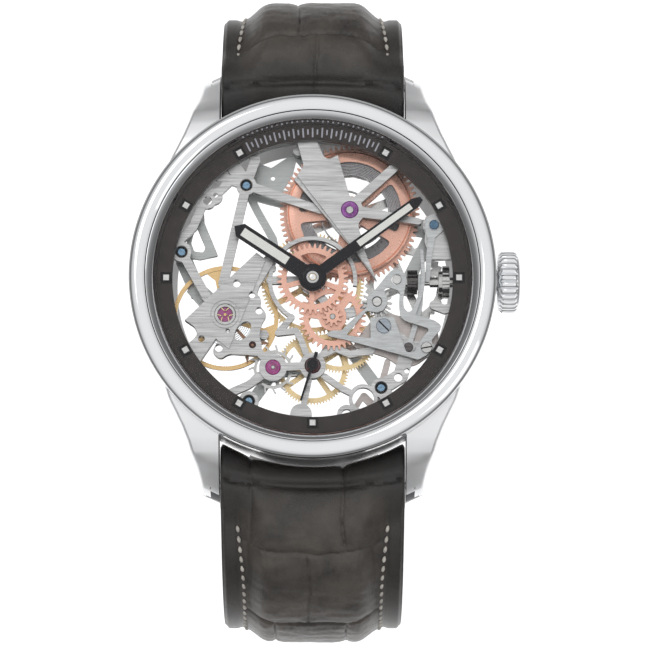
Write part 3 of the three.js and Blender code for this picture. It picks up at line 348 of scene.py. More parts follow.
def lathe_solid(profile, sides=160, centre=CENTRE):
    """Turns a closed (radius, height) profile; points on the axis are merged."""
    verts, faces = [], []
    n = len(profile)
    for i in range(sides):
        c, s = math.cos(2 * math.pi * i / sides), math.sin(2 * math.pi * i / sides)
        verts += [(centre[0] + r * c, centre[1] + r * s, z) for r, z in profile]
    for i in range(sides):
        j = (i + 1) % sides
        for k in range(n):
            m = (k + 1) % n
            faces.append((i * n + k, j * n + k, j * n + m, i * n + m))
    return verts, faces


def to_mesh(name, parts, scale=1.0, merge=1e-5):
    bm = bmesh.new()
    for verts, faces in parts:
        made = [bm.verts.new(v) for v in verts]
        for face in faces:
            loop = [made[i] for i in face]
            if len(set(loop)) > 2:
                try:
                    bm.faces.new(loop)
                except ValueError:
                    pass
    bmesh.ops.remove_doubles(bm, verts=bm.verts, dist=merge)
    bmesh.ops.dissolve_degenerate(bm, dist=merge / 10, edges=bm.edges)
    bmesh.ops.recalc_face_normals(bm, faces=bm.faces)
    if scale != 1.0:
        bmesh.ops.scale(bm, vec=(scale,) * 3, verts=bm.verts)
    mesh = bpy.data.meshes.new(name)
    bm.to_mesh(mesh)
    bm.free()
    return mesh


def smooth_by_angle(mesh, angle):
    bm = bmesh.new()
    bm.from_mesh(mesh)
    for face in bm.faces:
        face.smooth = True
    for edge in bm.edges:
        if len(edge.link_faces) == 2 and edge.calc_face_angle(0.0) > angle * DEG:
            edge.smooth = False
    bm.to_mesh(mesh)
    bm.free()


def place(name, mesh, material, body, stands_for=(), slot=None, angle=32, bevel=0.0):
    obj = bpy.data.objects.new(name, mesh)
    bpy.context.scene.collection.objects.link(obj)
    obj.data.materials.clear()
    obj.data.materials.append(M[material])
    smooth_by_angle(mesh, angle)
    if bevel:
        add_bevel(obj, bevel)
    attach(obj, body)
    if stands_for:
        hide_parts(*stands_for)
    return obj


def put(name, parts, material, body, stands_for=(), slot=None, merge=1e-5, **finish):
    """Places closed parts as drawn, side by side in one piece."""
    return place(name, to_mesh(name, parts, MM, merge), material, body, stands_for, slot, **finish)


def add_bevel(obj, width, segments=1):
    mod = obj.modifiers.new("edge", "BEVEL")
    mod.width = width * MM
    mod.segments = segments
    mod.limit_method = "ANGLE"
    mod.angle_limit = 35 * DEG
    mod.use_clamp_overlap = True


def solid(name, adds, cuts=(), merge=1e-5):
    """Joins closed parts into one, takes the cuts away, and returns the mesh in metres."""
    def temp(label, parts):
        obj = bpy.data.objects.new(label, to_mesh(label, parts, merge=merge))
        bpy.context.scene.collection.objects.link(obj)
        return obj

    base = temp(name, [adds[0]])
    used = [base]
    for parts, operation in ((adds[1:], "UNION"), (cuts, "DIFFERENCE")):
        if not parts:
            continue
        group = bpy.data.collections.new(name + operation)
        for part in parts:
            tool = temp("tool", [part])
            bpy.context.scene.collection.objects.unlink(tool)
            group.objects.link(tool)
            used.append(tool)
        mod = base.modifiers.new(operation, "BOOLEAN")
        mod.operation = operation
        mod.solver = "MANIFOLD"
        mod.operand_type = "COLLECTION"
        mod.collection = group
    bpy.context.view_layer.update()
    evaluated = base.evaluated_get(bpy.context.evaluated_depsgraph_get())
    mesh = bpy.data.meshes.new_from_object(evaluated)
    for obj in used:
        bpy.data.objects.remove(obj)
    bm = bmesh.new()
    bm.from_mesh(mesh)
    bmesh.ops.remove_doubles(bm, verts=bm.verts, dist=0.002)
    bmesh.ops.dissolve_limit(bm, angle_limit=0.5 * DEG, verts=bm.verts, edges=bm.edges)
    bmesh.ops.scale(bm, vec=(MM,) * 3, verts=bm.verts)
    bm.to_mesh(mesh)
    bm.free()
    return mesh


def carve(name, adds, cuts, material, body, stands_for=(), slot=None, **finish):
    """Places one piece, made of joined parts with the cuts taken away."""
    return place(name, solid(name, adds, cuts), material, body, stands_for, slot, **finish)


def lathe(name, profile, material, body, stands_for=(), slot=None, sides=160, centre=CENTRE, turn=None,
          angle=32):
    mesh = to_mesh(name, [lathe_solid(profile, sides, centre)], MM)
    if turn is not None:
        mesh.transform(turn)
    return place(name, mesh, material, body, stands_for, slot, angle)


def arc(centre, rx, rz, start, end, steps=8):
    return [(centre[0] + rx * math.cos(a), centre[1] + rz * math.sin(a))
            for a in (math.radians(start + (end - start) * i / steps) for i in range(steps + 1))]


# ------------------------------------------------------------------ case, bezel, backs
LUG_OUTER = [(11.0, 17.6), (12.5, 16.95), (14.0, 16.45), (15.5, 15.7), (17.0, 15.0), (18.6, 14.35),
             (20.2, 13.85), (21.8, 13.4), (22.9, 13.1), (23.9, 12.9), (25.1, 12.75)]
LUG_TOP = [(11.0, 8.3), (14.5, 8.3), (16.5, 8.05), (18.5, 7.45), (20.0, 6.7), (21.2, 5.9), (22.3, 4.9),
           (23.2, 4.15), (24.0, 3.45), (24.4, 2.9), (25.0, 1.5), (25.05, 1.2)]


def table_at(table, y):
    for (a, va), (b, vb) in zip(table, table[1:]):
        if y <= b:
            return va + (vb - va) * (y - a) / (b - a)
    return table[-1][1]


def lug_solid(sx, sy):
    """One lug, lofted from the case out to its bevelled tip."""
    rows = []
    for y in [11 + 0.4 * i for i in range(33)] + [24.0, 24.2, 24.38, 24.42, 24.98, 25.05]:
        zt = table_at(LUG_TOP, y)
        zb = 1.25 - 0.95 * min(max((y - 19.7) / 4.5, 0.0), 1.0)
        skew = 0.46 * max(0.0, min(1.0, (y - 20.0) / 4.0))
        xo = table_at(LUG_OUTER, y)
        width, tall = xo - LUG_HALF, zt - zb
        section = [(LUG_HALF, zb), (LUG_HALF, zt - 0.04 * tall), (LUG_HALF + 0.08, zt),
                   (LUG_HALF + 0.5 * width, zt - 0.01 * tall)]
        for k in range(7):
            a = k / 6 * math.pi / 2
            section.append((xo - 0.5 + 0.5 * math.sin(a),
                            zt - 0.03 * tall - min(0.6, 0.3 * tall) * (1 - math.cos(a))))
        section += [(xo, zb + min(0.4, 0.2 * tall)), (xo - 0.4, zb)]
        rows.append([(x * sx, (y - skew * (x - LUG_HALF)) * sy, z) for x, z in section])
    return [v for row in rows for v in row], skin(len(rows), len(rows[0]))


def along_x(part, z=0.0, y=0.0):
    verts, faces = part
    return [(v[2], v[1] + y, -v[0] + z) for v in verts], faces


case_profile = [(18.0, 1.25), (20.0, 1.25)] + arc((19.9, 2.4), 1.1, 1.1, -80, 0, 5) \
    + [(21.0, 8.15), (20.95, 8.25), (20.55, 8.3), (20.5, 8.6), (18.0, 8.6)]
case_mesh = solid(
    "case_body",
    [lathe_solid(case_profile, 192)] + [lug_solid(sx, sy) for sx in (1, -1) for sy in (1, -1)]
    + [along_x(disc(1.3, 20.5, 21.7), STEM_Z)],
    [disc(18.0, 0, 9, sides=192), along_x(disc(0.68, 15, 23), STEM_Z)]
    + [along_x(disc(0.45, -11.8, 11.8, sides=20), BAR_Z, s * BAR_Y) for s in (1, -1)],
)
place("case_body", case_mesh, "satin_case", "case", ["case_middle"], "polished_steel", angle=12)
# Painted shade: the outward end faces of the lugs take a near-black copy of the steel.
case_mesh.materials.append(M["tip"])
for face in case_mesh.polygons:
    if abs(face.center.y) > 24.3 * MM and abs(face.normal.y) > 0.5:
        face.material_index = 1

bezel_profile = [(17.95, 8.6), (20.6, 8.62), (20.65, 8.4), (20.95, 8.42), (21.03, 8.6), (21.05, 10.45)] \
    + arc((19.97, 9.85), 1.38, 1.38, 40, 122, 26) + [(19.2, 10.66), (19.13, 10.84), (19.06, 10.86),
                                                     (18.32, 10.36), (18.25, 10.25), (18.25, 9.4),
                                                     (18.2, 9.3), (17.95, 8.7)]
lathe("bezel_ring", bezel_profile, "polished", "case", ["bezel"], "polished_steel", 240, angle=30)
crystal_profile = [(0, 9.4), (18.2, 9.4)] + [(18.2 * (1 - i / 12),
                                              10.35 + 0.7 * (1 - (1 - i / 12) ** 2)) for i in range(13)]
lathe("dial_crystal", crystal_profile, "crystal", "case", ["crystal"], "glass", 128)
back_profile = [(16.02, 0.0), (18.9, 0.0), (19.0, 0.06), (19.1, 0.0), (19.35, 0.05), (19.6, 0.35),
                (19.6, 1.25), (17.97, 1.25), (17.97, 2.4), (16.8, 2.4), (15.7, 1.15), (16.02, 1.15)]
lathe("back_ring", back_profile, "satin_case", "case", ["case_back"], "polished_steel", 192)
lathe("back_crystal", [(0, 0), (16, 0), (16, 1.15), (0, 1.15)], "crystal", "case", ["case_back_crystal"],
      "glass", 128)

# ------------------------------------------------------------------ chapter ring, markers, generic ornament
def square_at(hour, half, low, high, taper=1.0, radius=16.8):
    a = -30 * hour * DEG
    verts, faces = prism([(-half, radius - half), (half, radius - half), (half, radius + half),
                          (-half, radius + half)], low, high)
    out = []
    for x, y, z in verts:
        k = taper if z == high else 1.0
        x, y = x * k, radius + (y - radius) * k
        out.append((x * math.cos(a) - y * math.sin(a), x * math.sin(a) + y * math.cos(a), z))
    return out, faces


chapter_mesh = solid(
    "chapter",
    [lathe_solid([(16.1, 7.4), (17.93, 7.4), (17.93, 8.6), (16.1, 8.45)], 240)],
    [square_at(h, 0.66, 8.25, 9) for h in range(1, 12)],
)
place("chapter", chapter_mesh, "dial", "case", ["chapter_ring"], "dial_ring")
# Painted shade: a near-black sheet at the bottom of each marker recess, showing round the marker.
put("marker_recess_shade", [square_at(h, 0.65, 8.2, 8.29) for h in range(1, 12)], "recess_shade", "case",
    slot="dial_ring")
put("hour_markers", [square_at(h, 0.38, 8.25, 8.8, 0.86) for h in range(1, 12)], "marker", "case",
    slot="polished_steel")
ornament = []
for step in range(-14, 15):
    angle = 90 * DEG - step * 1.85 * DEG
    tall = 0.62 if step % 2 == 0 else 0.3
    centre = polar(CENTRE, 17.05, angle)
    across = (-math.sin(angle) * 0.09, math.cos(angle) * 0.09)
    up = (math.cos(angle) * tall, math.sin(angle) * tall)
    ornament.append(prism([
        (centre[0] + across[0] * i + up[0] * j, centre[1] + across[1] * i + up[1] * j)
        for i, j in ((-1, -1), (1, -1), (1, 1), (-1, 1))], 8.5, 8.57))
put("dial_ticks", ornament, "print", "case", slot="dial_ring")

# ------------------------------------------------------------------ mainplate and blades
def curve_outline(points, steps=6):
    """Closed outline through points; a point given as (x, y, r) is rounded with radius r."""
    out = []
    n = len(points)
    for i, p in enumerate(points):
        if len(p) == 2:
            out.append(p)
            continue
        a, b = Vector(points[i - 1][:2]), Vector(points[(i + 1) % n][:2])
        v = Vector(p[:2])
        da, db = (a - v).normalized(), (b - v).normalized()
        reach = min(p[2], (a - v).length * 0.45, (b - v).length * 0.45)
        start, end = v + da * reach, v + db * reach
        for k in range(steps + 1):
            t = k / steps
            q = start * (1 - t) ** 2 + v * 2 * t * (1 - t) + end * t * t
            out.append((q.x, q.y))
    return out


def ring_parts(outer, inner, low, high, centre=CENTRE, sides=64):
    return lathe_solid([(inner, low), (outer, low), (outer, high), (inner, high)], sides, centre)


BLADE = [(-1.8, 16.1), (0.5, 16.1), (1.3, 14.3, 0.4), (1.9, 14.0, 0.4), (2.9, 14.5), (4.25, 9.75),
         (5.6, 8.9), (5.9, 7.3), (5.2, 6.5, 0.5), (5.9, 3.5), (7.35, -0.15), (4.9, 3.2), (0.59, 8.4),
         (-2.13, 11.63), (-1.02, 13.24, 0.4)]
KITE = [(-6.45, 3.1), (-14.67, -4.74), (-13.48, -5.54, 0.6), (-13.2, -6.5, 0.8), (-14.4, -7.6),
        (-12.95, -9.6), (-11.1, -6.9), (-9.6, -8.1), (-5.4, 2.3)]
SIDE = [(-5.4, 2.3), (-4.9, 3.1), (-4.5, 1.93, 0.4), (-6.2, -0.9, 0.6), (-6.4, -1.7, 0.4),
        (-5.9, -2.2, 0.4), (-6.0, -3.1, 0.3), (-5.2, -4.1, 0.6), (-5.9, -5.2, 0.4), (-6.1, -6.6, 0.4),
        (-5.8, -8.2), (-5.8, -8.9, 0.5), (-9.6, -8.6, 0.8), (-10.6, -9.3, 0.8), (-11.6, -8.4, 0.8),
        (-10.9, -7.2)]
UNDER, TOP, SIDE_TOP, BLADE_TOP = 6.0, 7.0, 7.38, 7.6
BLADE_UNDER = UNDER + 0.02
plate_adds = [
    ring_parts(17.9, 17.1, 2.4, 7.4, sides=144),
    disc(1.3, UNDER, TOP, SCREW_E), prism(
        [polar(CENTRE, 5.13, (-8 + 250 * i / 80) * DEG) for i in range(81)]
        + [polar(CENTRE, 4.67, (242 - 250 * i / 80) * DEG) for i in range(81)], UNDER, TOP),
    strut(SCREWS["a"], (0.9, 8.2), 1.1, UNDER, TOP, 0.9),
    strut(SCREWS["a"], (-10.3, -0.4), 1.1, UNDER, TOP), strut(SCREWS["b"], (-12.1, -2.1), 1.05, UNDER, TOP),
    disc(0.95, UNDER, TOP, (-12.13, 9.29)), strut((-4.6, 1.4), (-5.3, 2.4), 0.8, UNDER, TOP),
    disc(0.95, UNDER, TOP, (-11.35, 9.8)), disc(1.6, UNDER, 6.9), strut(CENTRE, (-4.9, 0), 0.9, UNDER, 6.9),
    strut(CENTRE, MINUTE_POST, 0.9, UNDER, 6.9), disc(0.9, UNDER, TOP, MINUTE_POST),
    disc(1.25, UNDER, TOP, (-1.33, -15.6)), disc(1.65, UNDER, TOP, (5.8, -13.75)),
    disc(1.1, UNDER, TOP, (3.9, -15.6)), strut(ESCAPE, FOURTH, 0.9, UNDER, TOP),
    strut(ESCAPE, PALLET, 0.9, UNDER, TOP), disc(1.15, UNDER, TOP, COVER_SCREW),
    disc(0.85, UNDER, TOP, SETTING_POST), prism([(13.6, 2.4), (12.9, 4.4), (13, 7.4), (15.3, 6.9),
                                                 (16.4, 4), (16.6, 2.4)], UNDER, TOP),
]
for points, width in (
    ([SCREWS["a"], (-6.6, 14.1), (-7.4, 15.8)], 1.1), ([SCREWS["a"], (-10.6, 12.1), (-12.6, 12.1)], 1.05),
    ([(-12.13, 9.29), (-12.76, 8.71), (-13.78, 6.2), (-15.3, 4.7), SCREWS["b"]], 1.0),
    ([(-12.13, 9.29), (-11.22, 9.94), (-9.6, 11.5)], 0.95),
    ([(-2.4, -4.3), (-3.99, -6.14), (-1.9, -5.9), (-1.3, -7), (-0.8, -8.4)], 0.7),
    ([(-0.4, -11.5), (-1.08, -14.92), (-1.2, -17.3)], 0.65),
    ([(1.4, -11.2), (3.4, -12.6), (4.6, -13.2)], 0.7),
    ([(1.2, -8.6), (2.6, -7.9), (4.3, -8.64), (6.7, -8.2), COVER_SCREW], 0.8),
    ([ESCAPE, (-7.4, -12.2), (-9.24, -13), (-10.3, -14)], 0.9),
    ([COVER_SCREW, YOKE_SCREW, EDGE_SCREW, (15, -8.8)], 1.7),
    ([YOKE_SCREW, (10.1, -11.1), SCREWS["d"]], 1.7), ([MINUTE_POST, (5.4, -3.4), SETTING_POST], 1.1),
    ([SETTING_POST, COVER_SCREW], 1.2), ([(13.9, -2.9), (15.2, -3.4), (17.2, -2.6)], 1.0),
):
    plate_adds += path(points, width, UNDER, TOP)
plate_adds += [disc(1.15, UNDER, TOP, at) for at in SCREWS.values()]
plate_adds += [strut(at, polar(CENTRE, 17.3, bearing(CENTRE, at)), 1.6, UNDER, TOP)
               for at in [*SCREWS.values(), SCREW_E, (-0.6, 15.5), (5.8, -13.75), (3.9, -15.6)]]
plate_adds += [disc(0.9, 3.85, UNDER, at) for at in [SCREWS["a"], SCREWS["c"], SCREWS["d"], SCREW_E]]
plate_adds += [disc(0.55, low, UNDER, at) for at, low in
               (((-1.7, 15.3), 3.85), (SCREWS["b"], 3.85), ((-5.6, -6.2), 5.3), ((-9, -7.95), 5.3))]
HOLES = [(-8.72, -0.48, 0.45), (-6.97, -1.8, 0.38), (-6.16, -3.63, 0.42), (-12.76, -6.93, 0.38),
         (-9.75, -5.98, 0.25), (-10.77, -7.95, 0.45), (-12.13, 9.29, 0.5), (-11.22, 9.94, 0.28),
         (5.8, -13.75, 1.25), (9.82, -11.3, 0.5), (10.8, -10.55, 0.3), (3.9, -15.6, 0.6)]
oval = []
for x, y in circle(1.0, sides=32):
    u, v = x * 1.25, y * 0.75
    c, s = math.cos(55 * DEG), math.sin(55 * DEG)
    oval.append((-8 + u * c - v * s, -5.98 + u * s + v * c))
hole_cuts = [disc(r, 5, 9, (x, y), 28) for x, y, r in HOLES] + [prism(oval, 5, 9)]
jewel_cuts = [disc(r, 5, 9, at, 40) for at, r in
              ((BALANCE, 1.27), (BARREL, 1.02), (PALLET, 0.42), (ESCAPE, 0.9), (FOURTH, 0.94),
               (CENTRE, 0.63))]
plate_cuts = [
    disc(8.4, 4.2, 5.95, BARREL, 72), disc(6.4, 4.1, 5.05, BALANCE, 72),
    along_x(disc(0.68, 12, 20), STEM_Z), prism([(13, -2.3), (16.3, -2.3), (16.3, 2.3), (13, 2.3)], 2, 9),
] + hole_cuts + jewel_cuts + [disc(0.75, 6.55, 8, at, 32) for at in SCREWS.values()]
carve("plate_main", plate_adds, plate_cuts, "brushed", "case", ["mainplate"], "brushed_plate", bevel=0.05)

blade_groove = [strut(a, b, 0.2, 7.35, 9) for a, b in (((-2.0, 12.2), (3.68, 4.75)),
                                                       ((3.68, 4.75), (6.9, 0.5)))]
carve(
    "blade_barrel",
    [prism(curve_outline(BLADE), BLADE_UNDER, BLADE_TOP), disc(1.5, BLADE_UNDER, BLADE_TOP, BARREL),
     strut((4.9, 9), (9.3, 12.95), 1.05, BLADE_UNDER, BLADE_TOP),
     strut((5.4, 7.9), (12.2, 6.75), 1.3, BLADE_UNDER, BLADE_TOP, 0.7)],
    jewel_cuts + blade_groove, "brushed", "case", slot="brushed_plate", bevel=0.05,
)
carve("blade_balance", [prism(curve_outline(KITE), BLADE_UNDER, BLADE_TOP),
                        disc(1.9, BLADE_UNDER, BLADE_TOP, BALANCE)],
      hole_cuts + jewel_cuts + [ring_parts(1.66, 1.58, 7.45, 8, BALANCE, 64)], "brushed", "case",
      slot="brushed_plate", bevel=0.05)
carve("blade_pallet", [prism(curve_outline(SIDE), BLADE_UNDER, SIDE_TOP),
                       disc(1.05, BLADE_UNDER, SIDE_TOP, PALLET), disc(1.6, BLADE_UNDER, SIDE_TOP, ESCAPE),
                       disc(1.5, BLADE_UNDER, SIDE_TOP, FOURTH), strut(ESCAPE, FOURTH, 0.9, 6.5, SIDE_TOP),
                       strut(ESCAPE, PALLET, 0.9, 6.5, SIDE_TOP)],
      hole_cuts + jewel_cuts, "brushed", "case", slot="brushed_plate", bevel=0.05)
for label, at, radius, low, high in (("minute_post", MINUTE_POST, 0.3, 6.8, 7.95),
                                     ("setting_post", SETTING_POST, 0.42, 6.8, 7.55),
                                     ("cover_seat", COVER_SCREW, 0.9, 6.9, 7.6),
                                     ("edge_seat", EDGE_SCREW, 0.7, 6.9, 7.6)):
    put(label, [disc(radius, low, high, at, 32)], "steel", "case", slot="satin_steel", bevel=0.04)

ARM = [(-13.43, 7.8, 0.3), (-12.57, 8.2, 0.3), (-12.5, 7.0), (-10.92, 3.15, 0.2), (-13.0, 2.7),
       (-14.3, 2.9, 0.2), (-14.6, 5.0)]
ARM_WINDOW = [(-13.7, 3.7, 0.2), (-12.64, 3.55, 0.3), (-12.37, 4.1, 0.3), (-13.4, 6.5, 0.2),
              (-13.8, 5.7, 0.2), (-14.05, 4.7, 0.2)]
carve("lower_arm", [prism(curve_outline(ARM), 4.3, 4.9)], [prism(curve_outline(ARM_WINDOW), 4, 6)],
      "bridge", "case", slot="brushed_plate", bevel=0.04)

# ------------------------------------------------------------------ keyless cover plate
COVER = [(1.5, -6.45, 0.3), (2.2, -6, 0.3), (3.3, -6.05, 0.3), (3.9, -5.4, 0.4), (5.3, -4.1),
         (6.25, -3.3, 0.3), (6.35, -2.2, 0.5), (7.5, -0.9, 0.4), (8.6, 0.5, 0.4), (9.2, 1.05, 0.3),
         (9.9, 1.05, 0.3), (10.6, 0.6, 0.3), (10.8, 0, 0.4), (10.4, -2.4, 0.6), (10.45, -3.4, 0.4),
         (10.9, -3.9, 0.3), (11.3, -3.8, 0.3), (11.9, -2.6, 0.6), (12.35, -1.2, 0.8), (12.5, 0.6, 0.8),
         (12.3, 3.4), (12.7, 3.4), (12.95, 0.6, 0.8), (12.8, -1.4, 0.8), (12.3, -2.9, 0.6),
         (11.8, -4.2, 0.3), (14.1, -4.9, 0.4), (14.75, -5.45, 0.5), (14.6, -6, 0.3), (13.6, -7.2, 0.3),
         (13.9, -8.1, 0.4), (13.2, -8.8, 0.3), (12.5, -9.2, 0.3), (12.1, -9.45, 0.3), (11, -9.1, 0.3),
         (8.1, -8.3), (3.7, -7.1), (2, -6.75, 0.3)]
WINDOW = [(3.9, -6.5, 0.3), (6.17, -3.75, 0.3), (7.35, -3.95), (8.1, -3.7), (8.55, -3.0), (8.6, -2.3),
          (8.3, -1.7), (8.2, -1.2, 0.3), (8.67, -1.0, 0.3), (9.99, -1.45, 0.3), (9.92, -3.2, 0.5),
          (10.1, -4.6, 0.5), (10.8, -5.0, 0.5), (13.2, -5.75, 0.2), (13.3, -6, 0.2), (12.4, -7.1, 0.5),
          (11.6, -8.6, 0.4), (10.72, -8.5, 0.2), (9.33, -4.38, 0.3), (6.6, -4.5, 0.2), (6.65, -6.95, 0.2),
          (4.2, -6.62, 0.2)]
LOWER = [(7.2, -4.1, 0.4), (9.2, -3.9, 0.4), (13.6, -5.3, 0.5), (14.6, -6.4, 0.5), (13.6, -8.6, 0.5),
         (12.0, -9.8, 0.6), (10.2, -10.2, 0.6), (8.6, -9.0, 0.5), (4.6, -7.7, 0.4), (5.2, -6.6, 0.4)]
PINS = [(9.66, -0.1), (7.39, -2.67)]
carve("lower_plate", [prism(curve_outline(LOWER), 6.05, 6.65),
                      strut((4.7, -14.9), (5.8, -13.2), 0.6, 4.9, 5.3),
                      strut((5.9, -13.3), (7.2, -14.6), 0.9, 4.9, 5.3),
                      strut((7.2, -14.6), (8.6, -9.4), 0.7, 4.9, 6.3)],
      [disc(0.45, 5, 8, YOKE_SCREW), strut((11.4, -5.2), (11.5, -6.9), 0.35, 6.4, 8)], "blush", "case",
      slot="brushed_plate", bevel=0.04)
put("cover_pins", [disc(0.52, 7.63, 7.97, at, 32) for at in PINS], "marker", "case", slot="satin_steel",
    bevel=0.04)
carve("cover_plate", [prism(curve_outline(COVER), 7.62, 8.0), disc(1.15, 7.62, 8, PINS[1])],
      [prism(curve_outline(WINDOW), 7, 9), disc(0.6, 7, 9, PINS[0], 32), disc(0.6, 7, 9, PINS[1], 32),
       disc(0.34, 7, 9, COVER_SCREW, 16), disc(0.32, 7, 9, EDGE_SCREW, 16)], "cover", "case",
      ["keyless_cover"], "satin_steel", bevel=0.05)

# ------------------------------------------------------------------ jewels and screws
def jewel(node, at, outer, bore, low, high, material):
    rim = 0.12
    profile = [(bore, low), (outer, low), (outer, high - rim), (outer - rim, high), (outer * 0.72, high),
               (outer * 0.45, high - 0.18), (bore + 0.02, high - 0.2)]
    lathe(node + "_stone", profile, material, "case", [node], "ruby", 48, at)


jewel("jewel_barrel", BARREL, 1.0, 0.44, 6.3, 7.65, "violet")
jewel("jewel_escape", ESCAPE, 0.88, 0.2, 6.4, 7.45, "ruby")
jewel("jewel_seconds", FOURTH, 0.92, 0.23, 6.4, 7.45, "ruby_dark")
jewel("jewel_pallet", PALLET, 0.4, 0.18, 6.4, 7.45, "ruby_dark")
lathe("shock_setting", [(0.86, 6.3), (1.25, 6.3), (1.25, 7.6), (1.17, 7.66), (0.9, 7.64), (0.86, 7.5)],
      "steel", "case", ["jewel_balance"], "ruby", 64, BALANCE)
lathe("shock_stone", [(0.2, 6.5), (0.84, 6.5), (0.84, 7.4), (0.2, 7.48)], "ruby", "case", slot="ruby",
      sides=48, centre=BALANCE)
lyre = []
for i in range(3):
    a = (90 + 120 * i) * DEG
    lyre += [strut(polar(BALANCE, 0.86, a - 0.5), polar(BALANCE, 0.42, a - 0.16), 0.1, 7.46, 7.56),
             strut(polar(BALANCE, 0.42, a - 0.16), polar(BALANCE, 0.42, a + 0.16), 0.1, 7.46, 7.56),
             strut(polar(BALANCE, 0.42, a + 0.16), polar(BALANCE, 0.86, a + 0.5), 0.1, 7.46, 7.56)]
put("shock_spring", lyre, "brass", "case", slot="gilt_brass")


def screw(node, at, head, low, high, turn, material, slot_half=0.07, shank=None):
    dome = [(0, low), (head, low), (head, high - 0.06), (head - 0.06, high), (0, high)]
    cut = strut(polar(at, -head * 1.5, turn), polar(at, head * 1.5, turn), slot_half * 2, high - 0.13,
                high + 1)
    adds = [lathe_solid(dome, 40, at)] if shank is None else [lathe_solid(dome, 40, at),
        disc(shank, 7.1, low + 0.05, at, 16)]
    mesh = solid(node + "_head", adds, [cut])
    place(node + "_head", mesh, material, "case", [node],
          "blued_steel" if material in ("blue", "navy") else "satin_steel")
    if shank is not None:
        # Painted shadow: a near-black strip sunk in the screw slot.
        shadow = strut(polar(at, -head * 0.9, turn), polar(at, head * 0.9, turn), slot_half * 2,
                       high - 0.14, high - 0.08)
        put(node + "_slot_shadow", [shadow], "recess_shade", "case", slot="satin_steel")


for key, turn in (("a", 20), ("b", -35), ("c", 80), ("d", 10)):
    screw("screw_" + key, SCREWS[key], 0.45, 6.55, 6.85, turn * DEG, "blue")
    lathe("sink_" + key, [(0.46, 6.56), (0.74, 6.56), (0.74, 6.98), (0.68, 6.98), (0.5, 6.62)],
          "sink" if key in "ab" else "dark_steel", "case",
          slot="satin_steel", sides=40, centre=SCREWS[key])
screw("screw_e", SCREW_E, 0.55, 7.4, 7.7, 50 * DEG, "navy")
screw("yoke_screw", YOKE_SCREW, 0.55, 7.4, 7.58, 0, "dark_steel")
screw("cover_screw", COVER_SCREW, 0.86, 8.0, 8.25, -45 * DEG, "slate", 0.09, 0.28)
screw("edge_screw", EDGE_SCREW, 0.65, 8.0, 8.25, 10 * DEG, "steel", 0.08, 0.26)


# ------------------------------------------------------------------ wheels
def gear_outline(teeth, pitch_r, tip, root, centre=CENTRE, turn=0.0):
    points = []
    step = 2 * math.pi / teeth
    for i in range(teeth):
        a = turn + i * step
        for r, share in ((root, -0.34), (root + (pitch_r - root) * 0.3, -0.27), (pitch_r, -0.2),
                         (tip - 0.3 * (tip - pitch_r), -0.12), (tip, 0.0),
                         (tip - 0.3 * (tip - pitch_r), 0.12), (pitch_r, 0.2),
                         (root + (pitch_r - root) * 0.3, 0.27), (root, 0.34)):
            points.append(polar(centre, r, a + share * step))
    return points


def windows(count, inner, outer, spoke, centre, turn, low, high, corner=0.25):
    tools = []
    for i in range(count):
        start = turn + 2 * math.pi * i / count
        end = start + 2 * math.pi / count
        edge = [polar(centre, outer, start + spoke / outer + (end - start - 2 * spoke / outer) * k / 12)
                for k in range(13)]
        hub = [polar(centre, inner, end - spoke / inner - (end - start - 2 * spoke / inner) * k / 6)
               for k in range(7)]
        clear_of = 1 + int(corner * 2)
        pts = [(*edge[0], corner)] + edge[clear_of:-clear_of] + [(*edge[-1], corner),
            (*hub[0], corner * 0.6)] + hub[1:-1]
        pts.append((*hub[-1], corner * 0.6))
        tools.append(prism(curve_outline(pts), low, high))
    return tools


def wheel(name, node, body, material, slot, adds, cuts, bevel=0.025):
    place(name, solid(name, adds, cuts), material, body, [node], slot, bevel=bevel)


to_centre = bearing(BARREL, CENTRE)
to_post = bearing(CENTRE, MINUTE_POST)
wheel("wheel_centre", "centre_wheel", "minutes", "brass", "gilt_brass",
      [prism(gear_outline(80, 5.8, 5.98, 5.58), 4, 4.2),
       prism(gear_outline(12, 1.2, 1.38, 0.9, turn=to_centre + math.pi), 4.15, 4.9), disc(0.55, 4.8, 7.05),
       disc(0.3, 3, 4.1), disc(0.38, 7, 9.3)],
      windows(4, 1.7, 5.1, 0.35, CENTRE, 0.5, 3, 5))
third_turn = bearing(CENTRE, THIRD) + math.pi + math.pi / 10
wheel("wheel_third", "third_wheel", "third", "brass", "gilt_brass",
      [prism(gear_outline(75, 4.45, 4.6, 4.28, THIRD), 5, 5.2),
       prism(gear_outline(10, 0.72, 0.84, 0.5, THIRD, third_turn), 3.95, 4.3), disc(0.4, 4.25, 5.1, THIRD),
       disc(0.17, 3, 5.9, THIRD)],
      windows(4, 1.3, 3.8, 0.3, THIRD, 0.2, 4.4, 6))
wheel("wheel_fourth", "fourth_wheel", "seconds", "brass", "gilt_brass",
      [prism(gear_outline(70, 4.08, 4.2, 3.92, FOURTH), 4.45, 4.65),
       prism(gear_outline(10, 0.56, 0.66, 0.4, FOURTH, bearing(FOURTH, THIRD) + math.pi / 10), 4.6, 5.3),
       disc(0.17, 3, 6, FOURTH), disc(0.2, 5.2, 8.4, FOURTH)],
      windows(4, 1.2, 3.4, 0.3, FOURTH, 0.6, 4, 4.7))
club = []
for i in range(15):
    for r, share in ((2.25, -0.42), (2.2, -0.1), (2.22, 0.12), (2.6, 0.3), (2.84, 0.42), (2.86, 0.54),
                     (2.72, 0.58), (2.48, 0.44), (2.27, 0.4)):
        club.append(polar(ESCAPE, r, (i + share) / 15 * 2 * math.pi))
wheel("wheel_escape", "escape_wheel", "escape", "steel", "polished_steel",
      [prism(club, 5.45, 5.65), prism(gear_outline(7, 0.4, 0.46, 0.27, ESCAPE,
                                                   bearing(ESCAPE, FOURTH) + math.pi / 7), 4.35, 4.9),
       disc(0.3, 4.85, 5.5, ESCAPE), disc(0.17, 3, 7.4, ESCAPE)],
      windows(4, 0.8, 1.9, 0.22, ESCAPE, 0.3, 5, 6))
